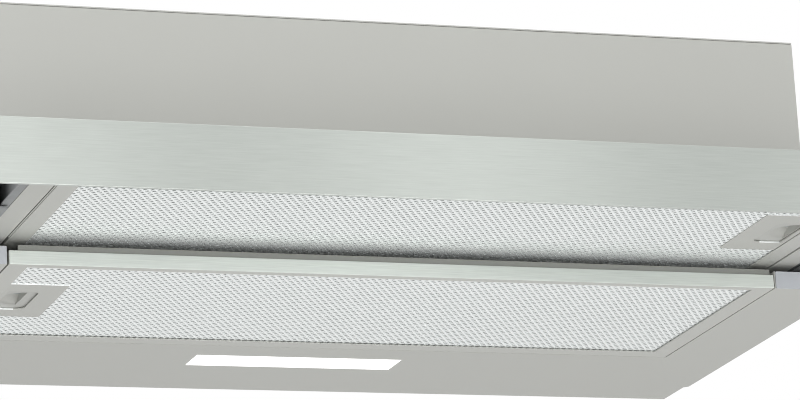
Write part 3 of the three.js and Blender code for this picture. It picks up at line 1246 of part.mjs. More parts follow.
const blower = new THREE.Group();
blower.position.set(0, BLOWER_AT, blowerAxis);
hood.add(blower);
const rightScroll = makeScrollHalf();
piece('scroll_right', rightScroll, GREY_PLASTIC, blower);
piece('scroll_left', mirrored(rightScroll), GREY_PLASTIC, blower);
piece('impeller', makeImpeller(), BLACK_PLASTIC, blower);
piece('motor_shaft', makeShaft(), STEEL, blower);
piece('motor', makeMotor(), ZINC, blower);
piece('motor_bracket', makeMotorBracket(), ZINC, blower);

piece('electronics_box', makeElectronicsBox(), WHITE_PLASTIC, hood);
piece('electronics_lid', makeElectronicsLid(), WHITE_PLASTIC, hood);
piece('terminal_block', makeTerminalBlock(), BLACK_PLASTIC, hood);
piece('cable_gland', makeGland(), BLACK_PLASTIC, hood);
piece('capacitor', makeCapacitor(), WHITE_PLASTIC, hood);
piece('microswitch', makeMicroswitch(), BLACK_PLASTIC, hood);
piece('microswitch_plunger', makePlunger(), WHITE_PLASTIC, hood);

piece('light_lens', makeLightLens(), DIFFUSER, hood);
piece('light_housing', makeLightHousing(), WHITE_PLASTIC, hood);
piece('light_board', makeLightBoard(), BOARD_GREEN, hood);

const carriage = new THREE.Group();
hood.add(carriage);
const railAt = (name, solid, group, y) => { piece(name, solid, ZINC, group).position.y = y; };
for (const [name, side] of SIDES) {
  piece(`end_cap_${name}`, sided(makeEndCap(), side), CAP_PLASTIC, hood);
  railAt(`rail_bracket_${name}`, sided(makeRailBracket(), side), hood, RAIL_START);
  railAt(`outer_rail_${name}`, sided(makeOuterRail(), side), hood, RAIL_START);
  railAt(`middle_rail_${name}`, sided(makeMiddleRail(), side), hood, RAIL_START - CARRIAGE_OUT / 2);
  railAt(`inner_rail_${name}`, sided(makeInnerRail(), side), carriage, RAIL_START - CARRIAGE_OUT);
  const spacer = piece(`panel_bracket_${name}`, makePanelBracket(), ZINC, carriage);
  spacer.position.x = side * (carriageHalf - PANEL_BRACKET_FROM_SIDE);
}
piece('carriage_frame', makeCarriageFrame(), PAINTED, carriage);
piece('carriage_cover', makeCarriageCover(), PAINTED, carriage);
piece('front_panel', makeFrontPanel(), BRUSHED, carriage);

piece('control_housing', makeControlHousing(), BLACK_PLASTIC, carriage);
piece('control_board', makeControlBoard(), BOARD_GREEN, carriage);
['light', 'low', 'medium', 'high'].forEach((name, index) => {
  const button = piece(`button_${name}`, makeButton(), GREY_PLASTIC, carriage);
  button.position.set(buttonMiddle(index), buttonY, buttonBottom);
});

const frontCassette = new THREE.Group();
frontCassette.position.set(0, frontFilterAt, carriageBottom);
carriage.add(frontCassette);
addCassette('front', 1, frontCassette, makeLatch(frontScoopWall, -1));

const rearCassette = new THREE.Group();
hood.add(rearCassette);
addCassette('rear', -1, rearCassette, makeLatch(rearScoopWall, 1));
const trim = block(-cassetteHalf, cassetteHalf, 0, FILTER_TRIM, 0, FILTER_HEIGHT);
piece('rear_filter_trim', trim, BRUSHED, rearCassette);

export default hood;
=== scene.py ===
"""Finishes and fine pieces of a pull-out range hood, laid out as an add-on and run as a script."""

import json
import math

import bmesh
import bpy
from bpy.props import FloatProperty, FloatVectorProperty, IntProperty, PointerProperty
from mathutils import Matrix, Vector


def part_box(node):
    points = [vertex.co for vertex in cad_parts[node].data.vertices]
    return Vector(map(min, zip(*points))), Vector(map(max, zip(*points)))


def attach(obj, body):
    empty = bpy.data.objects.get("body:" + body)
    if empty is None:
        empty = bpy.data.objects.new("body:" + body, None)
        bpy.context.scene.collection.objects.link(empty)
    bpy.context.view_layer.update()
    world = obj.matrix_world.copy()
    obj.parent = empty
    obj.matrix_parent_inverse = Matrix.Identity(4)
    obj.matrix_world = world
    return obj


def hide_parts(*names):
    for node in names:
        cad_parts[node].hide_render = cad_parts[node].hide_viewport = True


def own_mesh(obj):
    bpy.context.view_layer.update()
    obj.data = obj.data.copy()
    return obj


bl_info = {
    "name": "Pull-out range hood",
    "version": (1, 0, 0),
    "blender": (4, 5, 0),
    "location": "3D View > Sidebar > Hood",
    "description": "Sheet metal, grease filters, slides, light and finishes of a pull-out range hood",
    "category": "Object",
}

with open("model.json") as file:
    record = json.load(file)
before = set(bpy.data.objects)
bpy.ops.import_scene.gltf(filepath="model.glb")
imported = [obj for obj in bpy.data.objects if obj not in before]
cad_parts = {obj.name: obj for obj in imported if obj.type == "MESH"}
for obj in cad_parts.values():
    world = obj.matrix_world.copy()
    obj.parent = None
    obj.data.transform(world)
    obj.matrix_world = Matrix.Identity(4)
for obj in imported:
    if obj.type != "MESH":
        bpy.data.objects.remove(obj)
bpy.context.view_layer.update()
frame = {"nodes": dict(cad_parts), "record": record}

MM = 0.001
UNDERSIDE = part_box("base_frame")[0].z
FRONT_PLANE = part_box("end_cap_left")[0].y
LEFT_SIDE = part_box("base_frame")[0].x

# Photograph: camera in the layout below, in millimetres and degrees, and the pixel filter in pixels
CAMERA_AT = (-882.8, -2442.0, -675.1)
CAMERA_YAW = 19.888
CAMERA_PITCH = 15.574
CAMERA_ROLL = 3.392
CAMERA_LENS = 196.9
SENSOR = 36.0
PIXEL_FILTER = 1.0

# Lamps: name, place and aim in the layout, side in metres, power in watts
LAMPS = (
    ("low_softbox", (0, -950, -440), (0, -100, 20), 0.8, 3.5),
    ("front_softbox", (-700, -2300, -560), (0, 0, 40), 1.4, 20.0),
    ("high_softbox", (0, -1400, 2200), (0, 60, 100), 2.4, 19.0),
    ("right_softbox", (2400, 300, 200), (0, 100, 60), 1.8, 10.0),
    ("back_softbox", (300, 2300, 900), (0, 200, 100), 2.0, 18.0),
)
WHITE = (1.0, 1.0, 1.0, 1.0)
FILL_LIGHT = 0.44
FLOOR_GLOW = 0.5
FLOOR_LEVEL = -1.15
FLOOR_REACH = 6.0

# Copies of the CAD shapes: points that are merged, and angles in degrees
MERGED_WITHIN = 0.02 * MM
CAP_MERGED_WITHIN = 0.2 * MM
WIRE_MERGED_WITHIN = 0.001 * MM
FLAT_BELOW = 0.6
SHARP_ABOVE = 40.0
CORNER_SEGMENTS = 6
CORNER_WITHIN = 0.1 * MM
UPRIGHT_WITHIN = 0.01 * MM
HEM_SEGMENTS = 3
PLAIN_SMOOTH_BELOW = 25.0
EASED_SMOOTH_BELOW = 50.0
WIRE_SMOOTH_BELOW = 60.0

# Grease filter pad, from the floor of the cassette's frame upwards
NET_RISE = 0.45 * MM
INNER_LAYER_RISE = 1.7 * MM
INNER_LAYER_SHIFT = 0.37
NET_LAP = 1.6 * MM
BACKING_INSET = 0.6 * MM
BACKING_BELOW_TOP = (0.9 * MM, 0.2 * MM)

# Handle plate: its thickness, its pocket from the plate's inner end, and the trim on its edges, whose bright
# strips are painted highlights
PLATE_THICKNESS = 1.0 * MM
POCKET_START = 20.5 * MM
RIM_WIDTH = 3.0 * MM
RIM_LAP = 0.1 * MM
HIGHLIGHT_OUT = 0.2 * MM
HIGHLIGHT_IN = 0.3 * MM
PLATE_HIGHLIGHT_SUNK = 0.1 * MM
POCKET_HIGHLIGHT_PROUD = 0.2 * MM

# Dark lip on the rear cassette: painted shade for the gap below the carriage
SHADE_LIP_INSET = 6.0 * MM
SHADE_LIP_SPAN = (0.2 * MM, 2.2 * MM)
SHADE_LIP_HEIGHT = 3.7 * MM

# Strip inside the left seam of the carriage's bay, from the base's left side
BAY_SIDE = 50.8 * MM
STRIP_WIDE = (0.9 * MM, 0.1 * MM)
STRIP_ENDS = (1.0 * MM, 28.0 * MM)
STRIP_HIGH = (0.5 * MM, 1.4 * MM)


def layout(x, y, z):
    """A point given in millimetres from the middle of the underside's front edge, in the row frame."""
    return Vector((x * MM, FRONT_PLANE + y * MM, UNDERSIDE + z * MM))


# ---------------------------------------------------------------- properties


def millimetres(name, description, default, smallest=0.05):
    return FloatProperty(name=name, description=description, default=default * MM, min=smallest * MM,
                         unit="LENGTH", precision=5)


def colour_of(name, description, default):
    return FloatVectorProperty(name=name, description=description, default=default, subtype="COLOR", size=3,
                               min=0, max=1)


class HoodSizes(bpy.types.PropertyGroup):
    """Sizes that the CAD part leaves to the finishing pieces."""

    fold: millimetres("Fold radius", "Rounding of folded sheet edges", 0.35)
    thin_fold: millimetres("Thin fold radius", "Rounding of the cassettes' folded edges", 0.2)
    moulded_edge: millimetres("Moulded edge", "Rounding of moulded plastic edges", 0.3)
    mesh_pitch_x: millimetres("Mesh width", "Diamond of the expanded metal, left to right", 4.33, 2.0)
    mesh_pitch_y: millimetres("Mesh length", "Diamond of the expanded metal, front to back", 7.09, 2.0)
    strand: millimetres("Half strand", "Half the width of a strand of the expanded metal", 0.64, 0.2)
    strand_thickness: millimetres("Strand thickness", "Thickness of the expanded metal", 0.45, 0.1)
    strand_tilt: millimetres("Strand tilt", "Rise of the expanded metal across one diamond", 0.42, 0.0)
    # Rounding of the trims; two of them are bright strips that paint the highlights of the plate's edges
    hem: millimetres("Hem", "Rounding of the handle plate's hems", 0.2)
    plate_corner: millimetres("Plate corner", "Rounding of the handle plate's inner corners", 4.5, 0.0)
    plate_half: millimetres("Half plate", "Handle plate from its middle to its front edge", 38.3, 0.0)
    pocket_half: millimetres("Half pocket", "Latch pocket from its middle to its edge", 22.0, 0.0)
    window_end: millimetres("Window end", "Outer end of the handle plate from the middle", 235.4, 0.0)
    bevel_segments: IntProperty(name="Bevel segments", description="Steps round a folded or moulded edge",
                                default=2, min=1, max=4)


class HoodColours(bpy.types.PropertyGroup):
    """Colours of the finishes, scene linear."""

    paint: colour_of("Paint", "Silver-grey paint of the sheet metal", (0.53, 0.535, 0.505))
    steel: colour_of("Steel", "Brushed stainless steel", (0.5, 0.53, 0.5))
    mesh: colour_of("Expanded metal", "Bright aluminium mesh", (0.93, 0.985, 0.97))
    cap: colour_of("End cap", "Plastic of the end caps", (0.48, 0.5, 0.53))
    light: colour_of("Diffuser", "Milky light diffuser", (0.97, 0.97, 0.96))
    zinc: colour_of("Zinc", "Zinc plate of the motor, slides and brackets", (0.27, 0.28, 0.285))
    # Dark grey of the lip on the rear cassette, painted shade for the gap below the carriage
    shade_lip: colour_of("Felt", "Sealing felt of the rear cassette", (0.25, 0.255, 0.235))
    grey: colour_of("Grey plastic", "Collar, scroll and button mouldings", (0.33, 0.335, 0.335))
    black: colour_of("Black plastic", "Impeller, gland, control housing and switch", (0.028, 0.028, 0.03))
    white: colour_of("White plastic", "Flaps, electronics box, capacitor and light housing", (0.74, 0.74, 0.71))
    board: colour_of("Circuit board", "Lacquer of the two circuit boards", (0.035, 0.14, 0.07))
    wire: colour_of("Bright steel", "Latch springs, flap pin and motor shaft", (0.55, 0.56, 0.57))


# ---------------------------------------------------------------- shader maths


class Wire:
    """A shader value that Python's own arithmetic works on."""

    def __init__(self, tree, socket):
        self.tree = tree
        self.socket = socket

    def _maths(self, operation, first, second):
        return self.tree.node("ShaderNodeMath", {"operation": operation}, {0: first, 1: second})

    def __add__(self, other):
        return self._maths("ADD", self, other)

    __radd__ = __add__

    def __mul__(self, other):
        return self._maths("MULTIPLY", self, other)

    __rmul__ = __mul__

    def __sub__(self, other):
        return self._maths("SUBTRACT", self, other)

    def __rsub__(self, other):
        return self._maths("SUBTRACT", other, self)


class Tree:
    """A node tree of a material or the world, and the one way in which nodes are added to it."""

    def __init__(self, owner):
        owner.use_nodes = True
        self.nodes = owner.node_tree.nodes
        self.links = owner.node_tree.links

    def feed(self, socket, value):
        if isinstance(value, Wire):
            self.links.new(value.socket, socket)
        else:
            socket.default_value = value

    def node(self, kind, settings=None, inputs=None, output=0):
        """One node: settings first, then its sockets by index or name."""
        made = self.nodes.new(kind)
        for key, value in (settings or {}).items():
            setattr(made, key, value)
        for key, value in (inputs or {}).items():
            self.feed(made.inputs[key], value)
        return Wire(self, made.outputs[output])

    def light_path(self, ray):
        return self.node("ShaderNodeLightPath", output=ray)


class Finish(Tree):
    """A material under construction: a Principled shader and what feeds it."""

    def __init__(self, name, colour, roughness, metallic=0.0):
        self.material = bpy.data.materials.new(name)
        super().__init__(self.material)
        self.shader = self.nodes["Principled BSDF"]
        self.colour = tuple(colour)
        self.set("Base Color", (*self.colour, 1.0))
        self.set("Roughness", roughness)
        self.set("Metallic", metallic)

    def set(self, socket, value):
        self.feed(self.shader.inputs[socket], value)

    def place(self, scale=(1.0, 1.0, 1.0)):
        """Object coordinates, stretched."""
        coordinates = self.node("ShaderNodeTexCoord", output="Object")
        return self.node("ShaderNodeMapping", {}, {"Vector": coordinates, "Scale": scale})

    def noise(self, scale, detail=3.0, roughness=0.5, stretch=(1.0, 1.0, 1.0)):
        return self.node("ShaderNodeTexNoise", {}, {"Vector": self.place(stretch), "Scale": scale,
                                                    "Detail": detail, "Roughness": roughness})

    def mix(self, factor, first, second):
        return self.node("ShaderNodeMix", {"data_type": "RGBA"}, {"Factor": factor, 6: first, 7: second},
                         output=2)

    def shade(self, factor, darker, lighter):
        """The base colour between two strengths of itself."""
        dark = tuple(c * darker for c in self.colour) + (1.0,)
        light = tuple(min(1.0, c * lighter) for c in self.colour) + (1.0,)
        self.set("Base Color", self.mix(factor, dark, light))

    def bump(self, height, distance):
        self.set("Normal", self.node("ShaderNodeBump", {}, {"Height": height, "Distance": distance,
                                                            "Strength": 1.0}))

    def white_surroundings(self, glow):
        """White in metal and glass, partly white to the eye, and open to a look from below."""
        white = self.node("ShaderNodeEmission", {}, {"Color": WHITE, "Strength": 1.0})
        clear = self.node("ShaderNodeBsdfTransparent")
        below = self.node("ShaderNodeNewGeometry", output="Backfacing")
        shaded = Wire(self, self.shader.outputs[0])
        whiteness = self.light_path("Is Glossy Ray") + self.light_path("Is Camera Ray") * glow
        pale = self.node("ShaderNodeMixShader", {}, {0: whiteness, 1: shaded, 2: white})
        one_sided = self.node("ShaderNodeMixShader", {}, {0: below, 1: pale, 2: clear})
        self.feed(self.nodes["Material Output"].inputs["Surface"], one_sided)


# ---------------------------------------------------------------- finishes


def painted_sheet(name, colour, roughness=0.5, metallic=0.1):
    """Satin metallic paint: a faint mottle, fine flakes and a hint of orange peel."""
    finish = Finish(name, colour, roughness, metallic)
    broad = finish.noise(9.0, detail=2.0)
    flakes = finish.noise(2600.0, detail=1.0)
    peel = finish.noise(420.0, detail=2.0)
    finish.shade(broad * 0.6 + flakes * 0.4, darker=0.955, lighter=1.035)
    finish.set("Roughness", roughness - 0.05 + broad * 0.06 + flakes * 0.04)
    finish.bump(peel, 0.02 * MM)
    return finish.material


def brushed_sheet(name, colour, roughness=0.34, metallic=0.85, painted_band_weight=0.0):
    """Stainless steel with long fine scratches from left to right; its last argument mixes in broad soft bands
    of painted reflection.
    """
    finish = Finish(name, colour, roughness, metallic)
    long_marks = finish.noise(1.0, detail=3.0, roughness=0.6, stretch=(40.0, 1300.0, 1300.0))
    hair_lines = finish.noise(1.0, detail=2.0, roughness=0.7, stretch=(30.0, 4200.0, 4200.0))
    # Broad soft bands along X: painted reflection, mixed into the base colour
    bands = finish.node("ShaderNodeTexWave", {"bands_direction": "X"},
                        {"Vector": finish.place(), "Scale": 1.02, "Phase Offset": 3.48}, output="Fac")
    streaks = (long_marks * 0.7 + hair_lines * 0.3) * 2.6 - 0.8
    finish.shade(streaks * (1.0 - painted_band_weight) + bands * painted_band_weight, darker=0.84, lighter=1.14)
    finish.set("Roughness", roughness - 0.08 + long_marks * 0.1 + hair_lines * 0.08)
    finish.bump(long_marks * 0.5 + hair_lines * 0.5, 0.012 * MM)
    return finish.material


def bright_mesh(name, colour, roughness=0.4, metallic=0.5):
    """Rolled aluminium strands with small dull patches."""
    finish = Finish(name, colour, roughness, metallic)
    patches = finish.noise(120.0, detail=2.0)
    grain = finish.noise(1800.0, detail=2.0)
    finish.shade(patches * 0.5 + grain * 0.5, darker=0.9, lighter=1.08)
    finish.set("Roughness", roughness - 0.06 + patches * 0.08 + grain * 0.06)
    finish.bump(grain, 0.02 * MM)
    return finish.material


def zinc_sheet(name, colour, roughness=0.5, metallic=0.4):
    """Zinc-plated steel with its large soft crystals."""
    finish = Finish(name, colour, roughness, metallic)
    crystals = finish.node("ShaderNodeTexVoronoi", {}, {"Vector": finish.place(), "Scale": 160.0},
                           output="Color")
    spread = finish.node("ShaderNodeSeparateColor", {}, {0: crystals})
    cloud = finish.noise(30.0)
    finish.shade(spread * 0.5 + cloud * 0.5, darker=0.88, lighter=1.1)
    finish.set("Roughness", roughness - 0.06 + cloud * 0.12)
    finish.bump(cloud, 0.01 * MM)
    return finish.material


def moulded_plastic(name, colour, roughness=0.48):
    """Injection-moulded plastic with a fine spark-eroded grain."""
    finish = Finish(name, colour, roughness)
    grain = finish.noise(1400.0, detail=2.0)
    broad = finish.noise(25.0, detail=2.0)
    finish.shade(broad * 0.7 + grain * 0.3, darker=0.96, lighter=1.04)
    finish.set("Roughness", roughness - 0.04 + grain * 0.08)
    finish.bump(grain, 0.015 * MM)
    return finish.material


def milky_diffuser(name, colour):
    """Opal acrylic, lit from behind by a row of diodes."""
    finish = Finish(name, colour, 0.35)
    cloud = finish.noise(40.0, detail=1.0)
    finish.shade(cloud, darker=0.985, lighter=1.0)
    finish.set("Emission Color", finish.mix(cloud, (0.96, 0.96, 0.95, 1.0), (1.0, 1.0, 0.99, 1.0)))
    finish.set("Emission Strength", 0.75)
    return finish.material


def circuit_laminate(name, colour):
    """Lacquered board with faint copper tracks along X."""
    finish = Finish(name, colour, 0.3)
    tracks = finish.node("ShaderNodeTexWave", {"bands_direction": "Y"},
                         {"Vector": finish.place(), "Scale": 90.0, "Distortion": 1.5, "Detail": 0.0})
    finish.shade(tracks, darker=0.8, lighter=1.3)
    finish.set("Roughness", 0.26 + tracks * 0.08)
    finish.bump(tracks, 0.02 * MM)
    return finish.material


def ground_steel(name, colour):
    """Bright drawn wire and ground bar."""
    finish = Finish(name, colour, 0.24, 0.95)
    marks = finish.noise(1.0, detail=2.0, stretch=(600.0, 4000.0, 4000.0))
    finish.shade(marks, darker=0.9, lighter=1.08)
    finish.set("Roughness", 0.2 + marks * 0.1)
    finish.bump(marks, 0.006 * MM)
    return finish.material


MATERIALS = {}


def times(colour, strength):
    return [c * strength for c in colour]


def make_materials(colours):
    """One material for each slot of the record, and a few that scene pieces use in a slot's place."""
    MATERIALS.update({
        "painted_steel": painted_sheet("silver_grey_paint", colours.paint),
        "cassette_frame": painted_sheet("cassette_paint", colours.paint, roughness=0.46, metallic=0.2),
        # The front panel's steel carries broad bands of painted reflection
        "brushed_steel": brushed_sheet("brushed_stainless", colours.steel, painted_band_weight=0.6),
        # The trim strip takes a lighter, less metallic copy of the steel: painted light where the carriage
        # above blocks its reflection, with weaker bands of painted reflection
        "brushed_strip": brushed_sheet("brushed_strip", times(colours.steel, 1.42), roughness=0.4,
                                       metallic=0.5, painted_band_weight=0.35),
        "aluminium_mesh": bright_mesh("expanded_aluminium", colours.mesh),
        # The pad's inner layers and backing take half the mesh's colour: painted shade inside the pad, seen
        # through its openings
        "shaded_mesh_backing": bright_mesh("shaded_inner_mesh_layers", times(colours.mesh, 0.5), roughness=0.5,
                                    metallic=0.3),
        "zinc_steel": zinc_sheet("zinc_plate", colours.zinc),
        # The lip's dark grey is painted shade
        "painted_shade_lip": moulded_plastic("painted_shade_lip", colours.shade_lip, roughness=0.8),
        "cap_plastic": moulded_plastic("end_cap_plastic", colours.cap, roughness=0.45),
        "grey_plastic": moulded_plastic("grey_moulding", colours.grey, roughness=0.5),
        "black_plastic": moulded_plastic("black_moulding", colours.black, roughness=0.42),
        "white_plastic": moulded_plastic("white_moulding", colours.white, roughness=0.45),
        "latch_plastic": moulded_plastic("latch_moulding", times(colours.paint, 0.9), roughness=0.42),
        "light_diffuser": milky_diffuser("opal_diffuser", colours.light),
        "circuit_board": circuit_laminate("board_laminate", colours.board),
        "spring_steel": ground_steel("bright_steel", colours.wire),
    })


SLOT_OF = {row["node"]: row["material_slot"] for row in frame["record"]["subparts"]}
BODY_OF = {node: body for body, nodes in frame["record"]["behaviour"]["bodies"].items() for node in nodes}


# ---------------------------------------------------------------- making pieces


def finished(name, bm, slot, body, replaces=(), material=None, smooth_below=PLAIN_SMOOTH_BELOW):
    """Turns a bmesh into a piece that rides on a body and takes a slot's finish."""
    mesh = bpy.data.meshes.new(name)
    bm.to_mesh(mesh)
    bm.free()
    mesh.shade_smooth()
    mesh.set_sharp_from_angle(angle=math.radians(smooth_below))
    mesh.materials.append(MATERIALS[material or slot])
    piece = bpy.data.objects.new(name, mesh)
    bpy.context.collection.objects.link(piece)
    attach(piece, body)
    if replaces:
        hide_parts(*replaces)
    return piece


def merged_copy(node, within):
    """A bmesh of the node's shape, with its loose triangles joined."""
    bm = bmesh.new()
    bm.from_mesh(frame["nodes"][node].data)
    bmesh.ops.remove_doubles(bm, verts=bm.verts, dist=within)
    return bm


def round_edges(bm, edges, radius, segments, slide=True):
    bmesh.ops.bevel(bm, geom=edges, offset=radius, offset_type="OFFSET", affect="EDGES", segments=segments,
                    profile=0.5, material=-1, clamp_overlap=True, loop_slide=slide)


def eased_piece(node, radius, segments, material=None, corner=0.0, merge=MERGED_WITHIN):
    """The node with its flats made whole, its sharp edges rounded and its large faces shaded evenly.

    A corner radius first rounds the upright edges at the end that is nearest the hood's middle.
    """
    bm = merged_copy(node, merge)
    bmesh.ops.dissolve_limit(bm, angle_limit=math.radians(FLAT_BELOW), use_dissolve_boundaries=False,
                             verts=bm.verts, edges=bm.edges)
    if corner:
        nearest = min(abs(vert.co.x) for vert in bm.verts)
        upright = [edge for edge in bm.edges
                   if all(abs(abs(vert.co.x) - nearest) < CORNER_WITHIN for vert in edge.verts)
                   and abs(edge.verts[0].co.y - edge.verts[1].co.y) < UPRIGHT_WITHIN]
        round_edges(bm, upright, corner, CORNER_SEGMENTS)
    sharp = [edge for edge in bm.edges
             if len(edge.link_faces) == 2 and edge.calc_face_angle(0.0) > math.radians(SHARP_ABOVE)]
    round_edges(bm, sharp, radius, segments)
    piece = finished(f"{node}_eased", bm, SLOT_OF[node], BODY_OF[node], [node], material, EASED_SMOOTH_BELOW)
    even = piece.modifiers.new("even_shading", "WEIGHTED_NORMAL")
    even.mode = "FACE_AREA"
    even.weight = 100
    even.keep_sharp = True
    return piece


def block(low, high):
    """A bmesh box between two corners."""
    bm = bmesh.new()
    bmesh.ops.create_cube(bm, size=1.0)
    bmesh.ops.scale(bm, vec=high - low, verts=bm.verts)
    bmesh.ops.translate(bm, vec=(low + high) / 2, verts=bm.verts)
    return bm


# ---------------------------------------------------------------- operators


class HOOD_OT_stage(bpy.types.Operator):
    """Camera at the photograph's place, soft light, pale floor and white surroundings"""

    bl_idname = "hood.stage"
    bl_label = "Stage"

    def execute(self, context):
        self.add_camera(context.scene)
        self.add_lights()
        self.add_floor()
        self.set_world(context.scene)
        context.scene.view_settings.view_transform = "Standard"
        context.scene.cycles.filter_width = PIXEL_FILTER
        return {"FINISHED"}

    def add_camera(self, scene):
        yaw, pitch, roll = (math.radians(a) for a in (CAMERA_YAW, CAMERA_PITCH, CAMERA_ROLL))
        ahead = Vector((math.sin(yaw) * math.cos(pitch), math.cos(yaw) * math.cos(pitch), math.sin(pitch)))
        level = Vector((math.cos(yaw), -math.sin(yaw), 0.0))
        down = ahead.cross(level)
        right = math.cos(roll) * level + math.sin(roll) * down
        down = -math.sin(roll) * level + math.cos(roll) * down
        data = bpy.data.cameras.new("photo_camera")
        data.lens = CAMERA_LENS
        data.sensor_width = SENSOR
        data.sensor_fit = "HORIZONTAL"
        data.clip_start = 0.05
        data.clip_end = 50.0
        camera = bpy.data.objects.new("photo_camera", data)
        camera.matrix_world = Matrix((right, -down, -ahead)).transposed().to_4x4()
        camera.location = layout(*CAMERA_AT)
        scene.collection.objects.link(camera)
        scene.camera = camera

    def add_lights(self):
        for name, at, aim, size, power in LAMPS:
            data = bpy.data.lights.new(name, "AREA")
            data.shape = "SQUARE"
            data.size = size
            data.energy = power
            lamp = bpy.data.objects.new(name, data)
            bpy.context.collection.objects.link(lamp)
            lamp.location = layout(*at)
            lamp.rotation_euler = (layout(*aim) - lamp.location).to_track_quat("-Z", "Y").to_euler()
            lamp.visible_camera = False

    def add_floor(self):
        bm = bmesh.new()
        bmesh.ops.create_grid(bm, x_segments=4, y_segments=4, size=FLOOR_REACH)
        bmesh.ops.translate(bm, vec=(0, 0, FLOOR_LEVEL), verts=bm.verts)
        mesh = bpy.data.meshes.new("pale_floor")
        bm.to_mesh(mesh)
        bm.free()
        floor = bpy.data.objects.new("pale_floor", mesh)
        bpy.context.collection.objects.link(floor)
        finish = Finish("floor_paint", (0.8, 0.8, 0.79), 0.7)
        finish.shade(finish.noise(3.0), darker=0.985, lighter=1.01)
        finish.white_surroundings(FLOOR_GLOW)
        mesh.materials.append(finish.material)

    def set_world(self, scene):
        """White to the eye and in metal, and a softer fill on everything else."""
        scene.world = bpy.data.worlds.new("white_room")
        tree = Tree(scene.world)
        white = tree.nodes["Background"]
        tree.feed(white.inputs["Color"], WHITE)
        tree.feed(white.inputs["Strength"], 1.0)
        seen = Wire(tree, white.outputs[0])
        fill = tree.node("ShaderNodeBackground", {}, {"Color": WHITE, "Strength": FILL_LIGHT})
        direct = tree.light_path("Is Camera Ray") + tree.light_path("Is Glossy Ray")
        pick = tree.node("ShaderNodeMixShader", {}, {0: direct, 1: fill, 2: seen})
        tree.feed(tree.nodes["World Output"].inputs["Surface"], pick)


class HOOD_OT_finishes(bpy.types.Operator):
    """Makes the finishes and puts them on the pieces whose CAD shape is shown as it is"""

    bl_idname = "hood.finishes"
    bl_label = "Finishes"

    def execute(self, context):
        make_materials(context.scene.hood_colours)
        for name, node in frame["nodes"].items():
            node.data.materials.clear()
            node.data.materials.append(MATERIALS[SLOT_OF[name]])
        return {"FINISHED"}


class HOOD_OT_sheet_metal(bpy.types.Operator):
    """Base, housing, carriage and front panel with their folded edges rounded"""

    bl_idname = "hood.sheet_metal"
    bl_label = "Sheet metal"

    def execute(self, context):
        sizes = context.scene.hood_sizes
        for node in ("base_frame", "housing_shell", "housing_top", "carriage_frame", "carriage_cover",
                     "front_panel"):
            eased_piece(node, sizes.fold, sizes.bevel_segments)
        eased_piece("rear_filter_trim", sizes.fold, sizes.bevel_segments, "brushed_strip")
        return {"FINISHED"}


class HOOD_OT_mouldings(bpy.types.Operator):
    """End caps, latches, handle plates, controls and gland with eased edges"""

    bl_idname = "hood.mouldings"
    bl_label = "Mouldings"

    def execute(self, context):
        sizes = context.scene.hood_sizes
        for node in ("end_cap_left", "end_cap_right"):
            eased_piece(node, sizes.moulded_edge, sizes.bevel_segments, merge=CAP_MERGED_WITHIN)
        for node in ("front_filter_latch", "rear_filter_latch", "control_housing", "button_light",
                     "button_low", "button_medium", "button_high", "light_lens", "cable_gland"):
            eased_piece(node, sizes.moulded_edge, sizes.bevel_segments)
        for node in ("front_filter_handle", "rear_filter_handle"):
            eased_piece(node, sizes.moulded_edge, sizes.bevel_segments, corner=sizes.plate_corner)
        return {"FINISHED"}


class HOOD_OT_latch_springs(bpy.types.Operator):
    """Latch springs, each a smooth copy of its CAD coil with a mesh of its own"""

    bl_idname = "hood.latch_springs"
    bl_label = "Latch springs"

    def execute(self, context):
        for end in ("front", "rear"):
            node = f"{end}_latch_spring"
            bm = merged_copy(node, WIRE_MERGED_WITHIN)
            spring = finished(f"{end}_latch_coil", bm, SLOT_OF[node], BODY_OF[node], [node],
                              smooth_below=WIRE_SMOOTH_BELOW)
            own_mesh(spring)
        return {"FINISHED"}


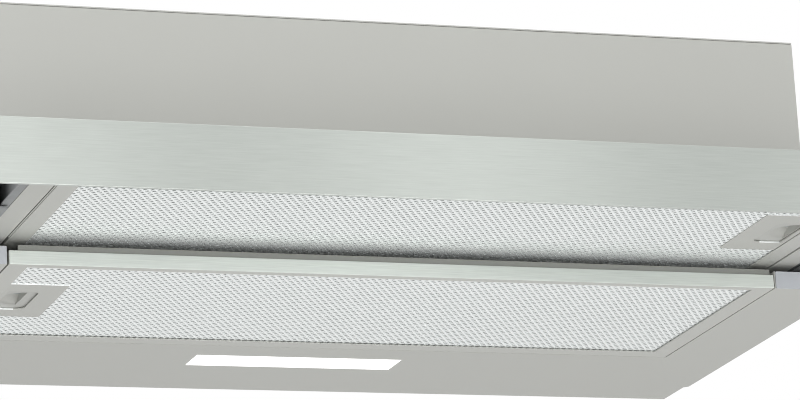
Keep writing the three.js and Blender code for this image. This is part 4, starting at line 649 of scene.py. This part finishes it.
class HOOD_OT_cassettes(bpy.types.Operator):
    """Grease filters: eased frames and pads of expanded metal"""

    bl_idname = "hood.cassettes"
    bl_label = "Grease filters"

    def execute(self, context):
        sizes = context.scene.hood_sizes
        for end in ("front", "rear"):
            eased_piece(f"{end}_filter_frame", sizes.thin_fold, sizes.bevel_segments)
            self.add_layer(sizes, end, "net", 0.0, 0.0, "aluminium_mesh")
            self.add_layer(sizes, end, "media", INNER_LAYER_RISE, INNER_LAYER_SHIFT, "shaded_mesh_backing")
            self.add_backing(end)
        return {"FINISHED"}

    def add_layer(self, sizes, end, layer, above, shift, material):
        """One sheet of expanded metal, cut to the cassette and round the latch's guide."""
        node = f"{end}_filter_{layer}"
        net_low, net_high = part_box(f"{end}_filter_net")
        plate_low, plate_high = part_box(f"{end}_filter_handle")
        towards = math.copysign(1.0, plate_low.x)
        nearest = min(abs(plate_low.x), abs(plate_high.x))
        bm = self.diamonds(sizes, net_low, net_high, shift)
        covered = []
        for face in bm.faces:
            middle = face.calc_center_median()
            beside = plate_low.y + NET_LAP < middle.y < plate_high.y - NET_LAP
            if beside and middle.x * towards > nearest + NET_LAP:
                covered.append(face)
        bmesh.ops.delete(bm, geom=covered, context="FACES")
        bmesh.ops.solidify(bm, geom=bm.faces[:], thickness=sizes.strand_thickness)
        bmesh.ops.translate(bm, vec=(0, 0, net_low.z + NET_RISE + above), verts=bm.verts)
        bmesh.ops.recalc_face_normals(bm, faces=bm.faces)
        finished(f"{end}_expanded_{layer}", bm, "aluminium_mesh", BODY_OF[node], [node], material)

    def diamonds(self, sizes, low, high, shift):
        """A flat net of diamond strands between two corners, each strand tilted as cut and drawn metal is."""
        across, along = sizes.mesh_pitch_x, sizes.mesh_pitch_y
        centre = (low + high) / 2
        reach = math.ceil((high.x - low.x) / 2 / across + (high.y - low.y) / 2 / along) + 2
        bm = bmesh.new()
        bmesh.ops.create_grid(bm, x_segments=2 * reach, y_segments=2 * reach, size=reach)
        turn = Matrix(((across / 2, -across / 2, 0, 0), (along / 2, along / 2, 0, 0), (0, 0, 1, 0),
                       (0, 0, 0, 1)))
        bmesh.ops.transform(bm, matrix=turn, verts=bm.verts)
        offset = Vector((centre.x + shift * across, centre.y + shift * along, 0))
        bmesh.ops.translate(bm, vec=offset, verts=bm.verts)
        outside = []
        for face in bm.faces:
            middle = face.calc_center_median()
            if not (low.x - across < middle.x < high.x + across
                    and low.y - along < middle.y < high.y + along):
                outside.append(face)
        bmesh.ops.delete(bm, geom=outside, context="FACES")
        openings = bm.faces[:]
        middles = [face.calc_center_median().copy() for face in openings]
        bmesh.ops.inset_individual(bm, faces=openings, thickness=sizes.strand, use_even_offset=True)
        for face, middle in zip(openings, middles):
            for vert in face.verts:
                vert.co.z += (vert.co.y - middle.y) / along * 2 * sizes.strand_tilt
        bmesh.ops.delete(bm, geom=openings, context="FACES")
        for point, normal in ((low, (-1, 0, 0)), (high, (1, 0, 0)), (low, (0, -1, 0)), (high, (0, 1, 0))):
            bmesh.ops.bisect_plane(bm, geom=bm.verts[:] + bm.edges[:] + bm.faces[:],
                                   plane_co=(point.x, point.y, 0), plane_no=normal, clear_outer=True)
        return bm

    def add_backing(self, end):
        """The last layer at the back of the pad, dull and at half the mesh's colour as painted shade."""
        node = f"{end}_filter_media"
        low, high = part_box(node)
        lower, upper = BACKING_BELOW_TOP
        bm = block(Vector((low.x + BACKING_INSET, low.y + BACKING_INSET, high.z - lower)),
                   Vector((high.x - BACKING_INSET, high.y - BACKING_INSET, high.z - upper)))
        finished(f"{end}_filter_backing", bm, "aluminium_mesh", BODY_OF[node], [node], "shaded_mesh_backing")


class HOOD_OT_trim(bpy.types.Operator):
    """Bright strips of painted highlight and rims on the handle plates, the dark lip of painted shade on the
    rear cassette and the strip inside the left seam
    """

    bl_idname = "hood.trim"
    bl_label = "Trim"

    def execute(self, context):
        for end in ("front", "rear"):
            self.add_plate_trim(context.scene.hood_sizes, end)
        self.add_seat_strip()
        self.add_shade_lip()
        return {"FINISHED"}

    def add_plate_trim(self, sizes, end):
        """Strips of bright mesh metal on the plate's front edge and the pocket's rear edge, which paint their
        highlights, and the pocket's outer rim.
        """
        low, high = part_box(f"{end}_filter_handle")
        latch_low, latch_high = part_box(f"{end}_filter_latch")
        inner, outer = sorted((low.x, high.x), key=abs)
        towards = math.copysign(1.0, outer)
        pocket_start = inner + POCKET_START * towards
        window_end = sizes.window_end * towards
        rim_start = window_end - RIM_WIDTH * towards
        middle = (latch_low.y + latch_high.y) / 2
        plate_front = middle - sizes.plate_half
        pocket_front = middle - sizes.pocket_half
        pocket_rear = middle + sizes.pocket_half
        plate_top = low.z + PLATE_THICKNESS
        trims = (
            # The two bright strips are painted highlights on the edges; the rim is plain paint
            ("plate_highlight_strip", inner, window_end, plate_front - HIGHLIGHT_OUT, plate_front + HIGHLIGHT_IN,
             plate_top - PLATE_HIGHLIGHT_SUNK, "aluminium_mesh"),
            ("pocket_highlight_strip", pocket_start, rim_start, pocket_rear - HIGHLIGHT_IN, pocket_rear + HIGHLIGHT_OUT,
             plate_top + POCKET_HIGHLIGHT_PROUD, "aluminium_mesh"),
            ("pocket_rim", rim_start, window_end, pocket_front - RIM_LAP, pocket_rear + RIM_LAP,
             plate_top, "painted_steel"),
        )
        for name, start, stop, front, rear, top, slot in trims:
            left, right = sorted((start, stop))
            bm = block(Vector((left, front, low.z)), Vector((right, rear, top)))
            round_edges(bm, bm.edges[:], sizes.hem, HEM_SEGMENTS, slide=False)
            finished(f"{end}_{name}", bm, slot, BODY_OF[f"{end}_filter_handle"])

    def add_shade_lip(self):
        """Dark lip on the rear cassette's front, below the carriage, that stands in for the shade in the gap
        between them.
        """
        low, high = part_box("rear_filter_frame")
        front, rear = SHADE_LIP_SPAN
        bm = block(Vector((low.x + SHADE_LIP_INSET, low.y + front, high.z)),
                   Vector((high.x - SHADE_LIP_INSET, low.y + rear, high.z + SHADE_LIP_HEIGHT)))
        finished("cassette_shade_lip", bm, "black_plastic", BODY_OF["rear_filter_frame"], material="painted_shade_lip")

    def add_seat_strip(self):
        """Strip that the front cassette's left side lies against, just inside the seam."""
        low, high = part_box("front_filter_frame")
        side = LEFT_SIDE + BAY_SIDE
        bm = block(Vector((side - STRIP_WIDE[0], low.y + STRIP_ENDS[0], low.z + STRIP_HIGH[0])),
                   Vector((side - STRIP_WIDE[1], high.y - STRIP_ENDS[1], low.z + STRIP_HIGH[1])))
        finished("left_seat_strip", bm, "painted_steel", BODY_OF["carriage_frame"])


class HOOD_PT_sidebar(bpy.types.Panel):
    """Lists the hood's sizes, colours and steps"""

    bl_label = "Range hood"
    bl_idname = "HOOD_PT_sidebar"
    bl_space_type = "VIEW_3D"
    bl_region_type = "UI"
    bl_category = "Hood"

    def draw(self, context):
        for group in (context.scene.hood_sizes, context.scene.hood_colours):
            box = self.layout.box()
            for name in group.__annotations__:
                box.prop(group, name)
        for operator in OPERATORS:
            self.layout.operator(operator.bl_idname)


OPERATORS = (HOOD_OT_stage, HOOD_OT_finishes, HOOD_OT_sheet_metal, HOOD_OT_mouldings, HOOD_OT_latch_springs,
             HOOD_OT_cassettes, HOOD_OT_trim)
CLASSES = (HoodSizes, HoodColours, *OPERATORS, HOOD_PT_sidebar)


def register():
    for cls in CLASSES:
        bpy.utils.register_class(cls)
    bpy.types.Scene.hood_sizes = PointerProperty(type=HoodSizes)
    bpy.types.Scene.hood_colours = PointerProperty(type=HoodColours)


def unregister():
    del bpy.types.Scene.hood_colours
    del bpy.types.Scene.hood_sizes
    for cls in reversed(CLASSES):
        bpy.utils.unregister_class(cls)


def main():
    register()
    bpy.ops.hood.stage()
    bpy.ops.hood.finishes()
    bpy.ops.hood.sheet_metal()
    bpy.ops.hood.mouldings()
    bpy.ops.hood.latch_springs()
    bpy.ops.hood.cassettes()
    bpy.ops.hood.trim()


if __name__ == "__main__":
    main()
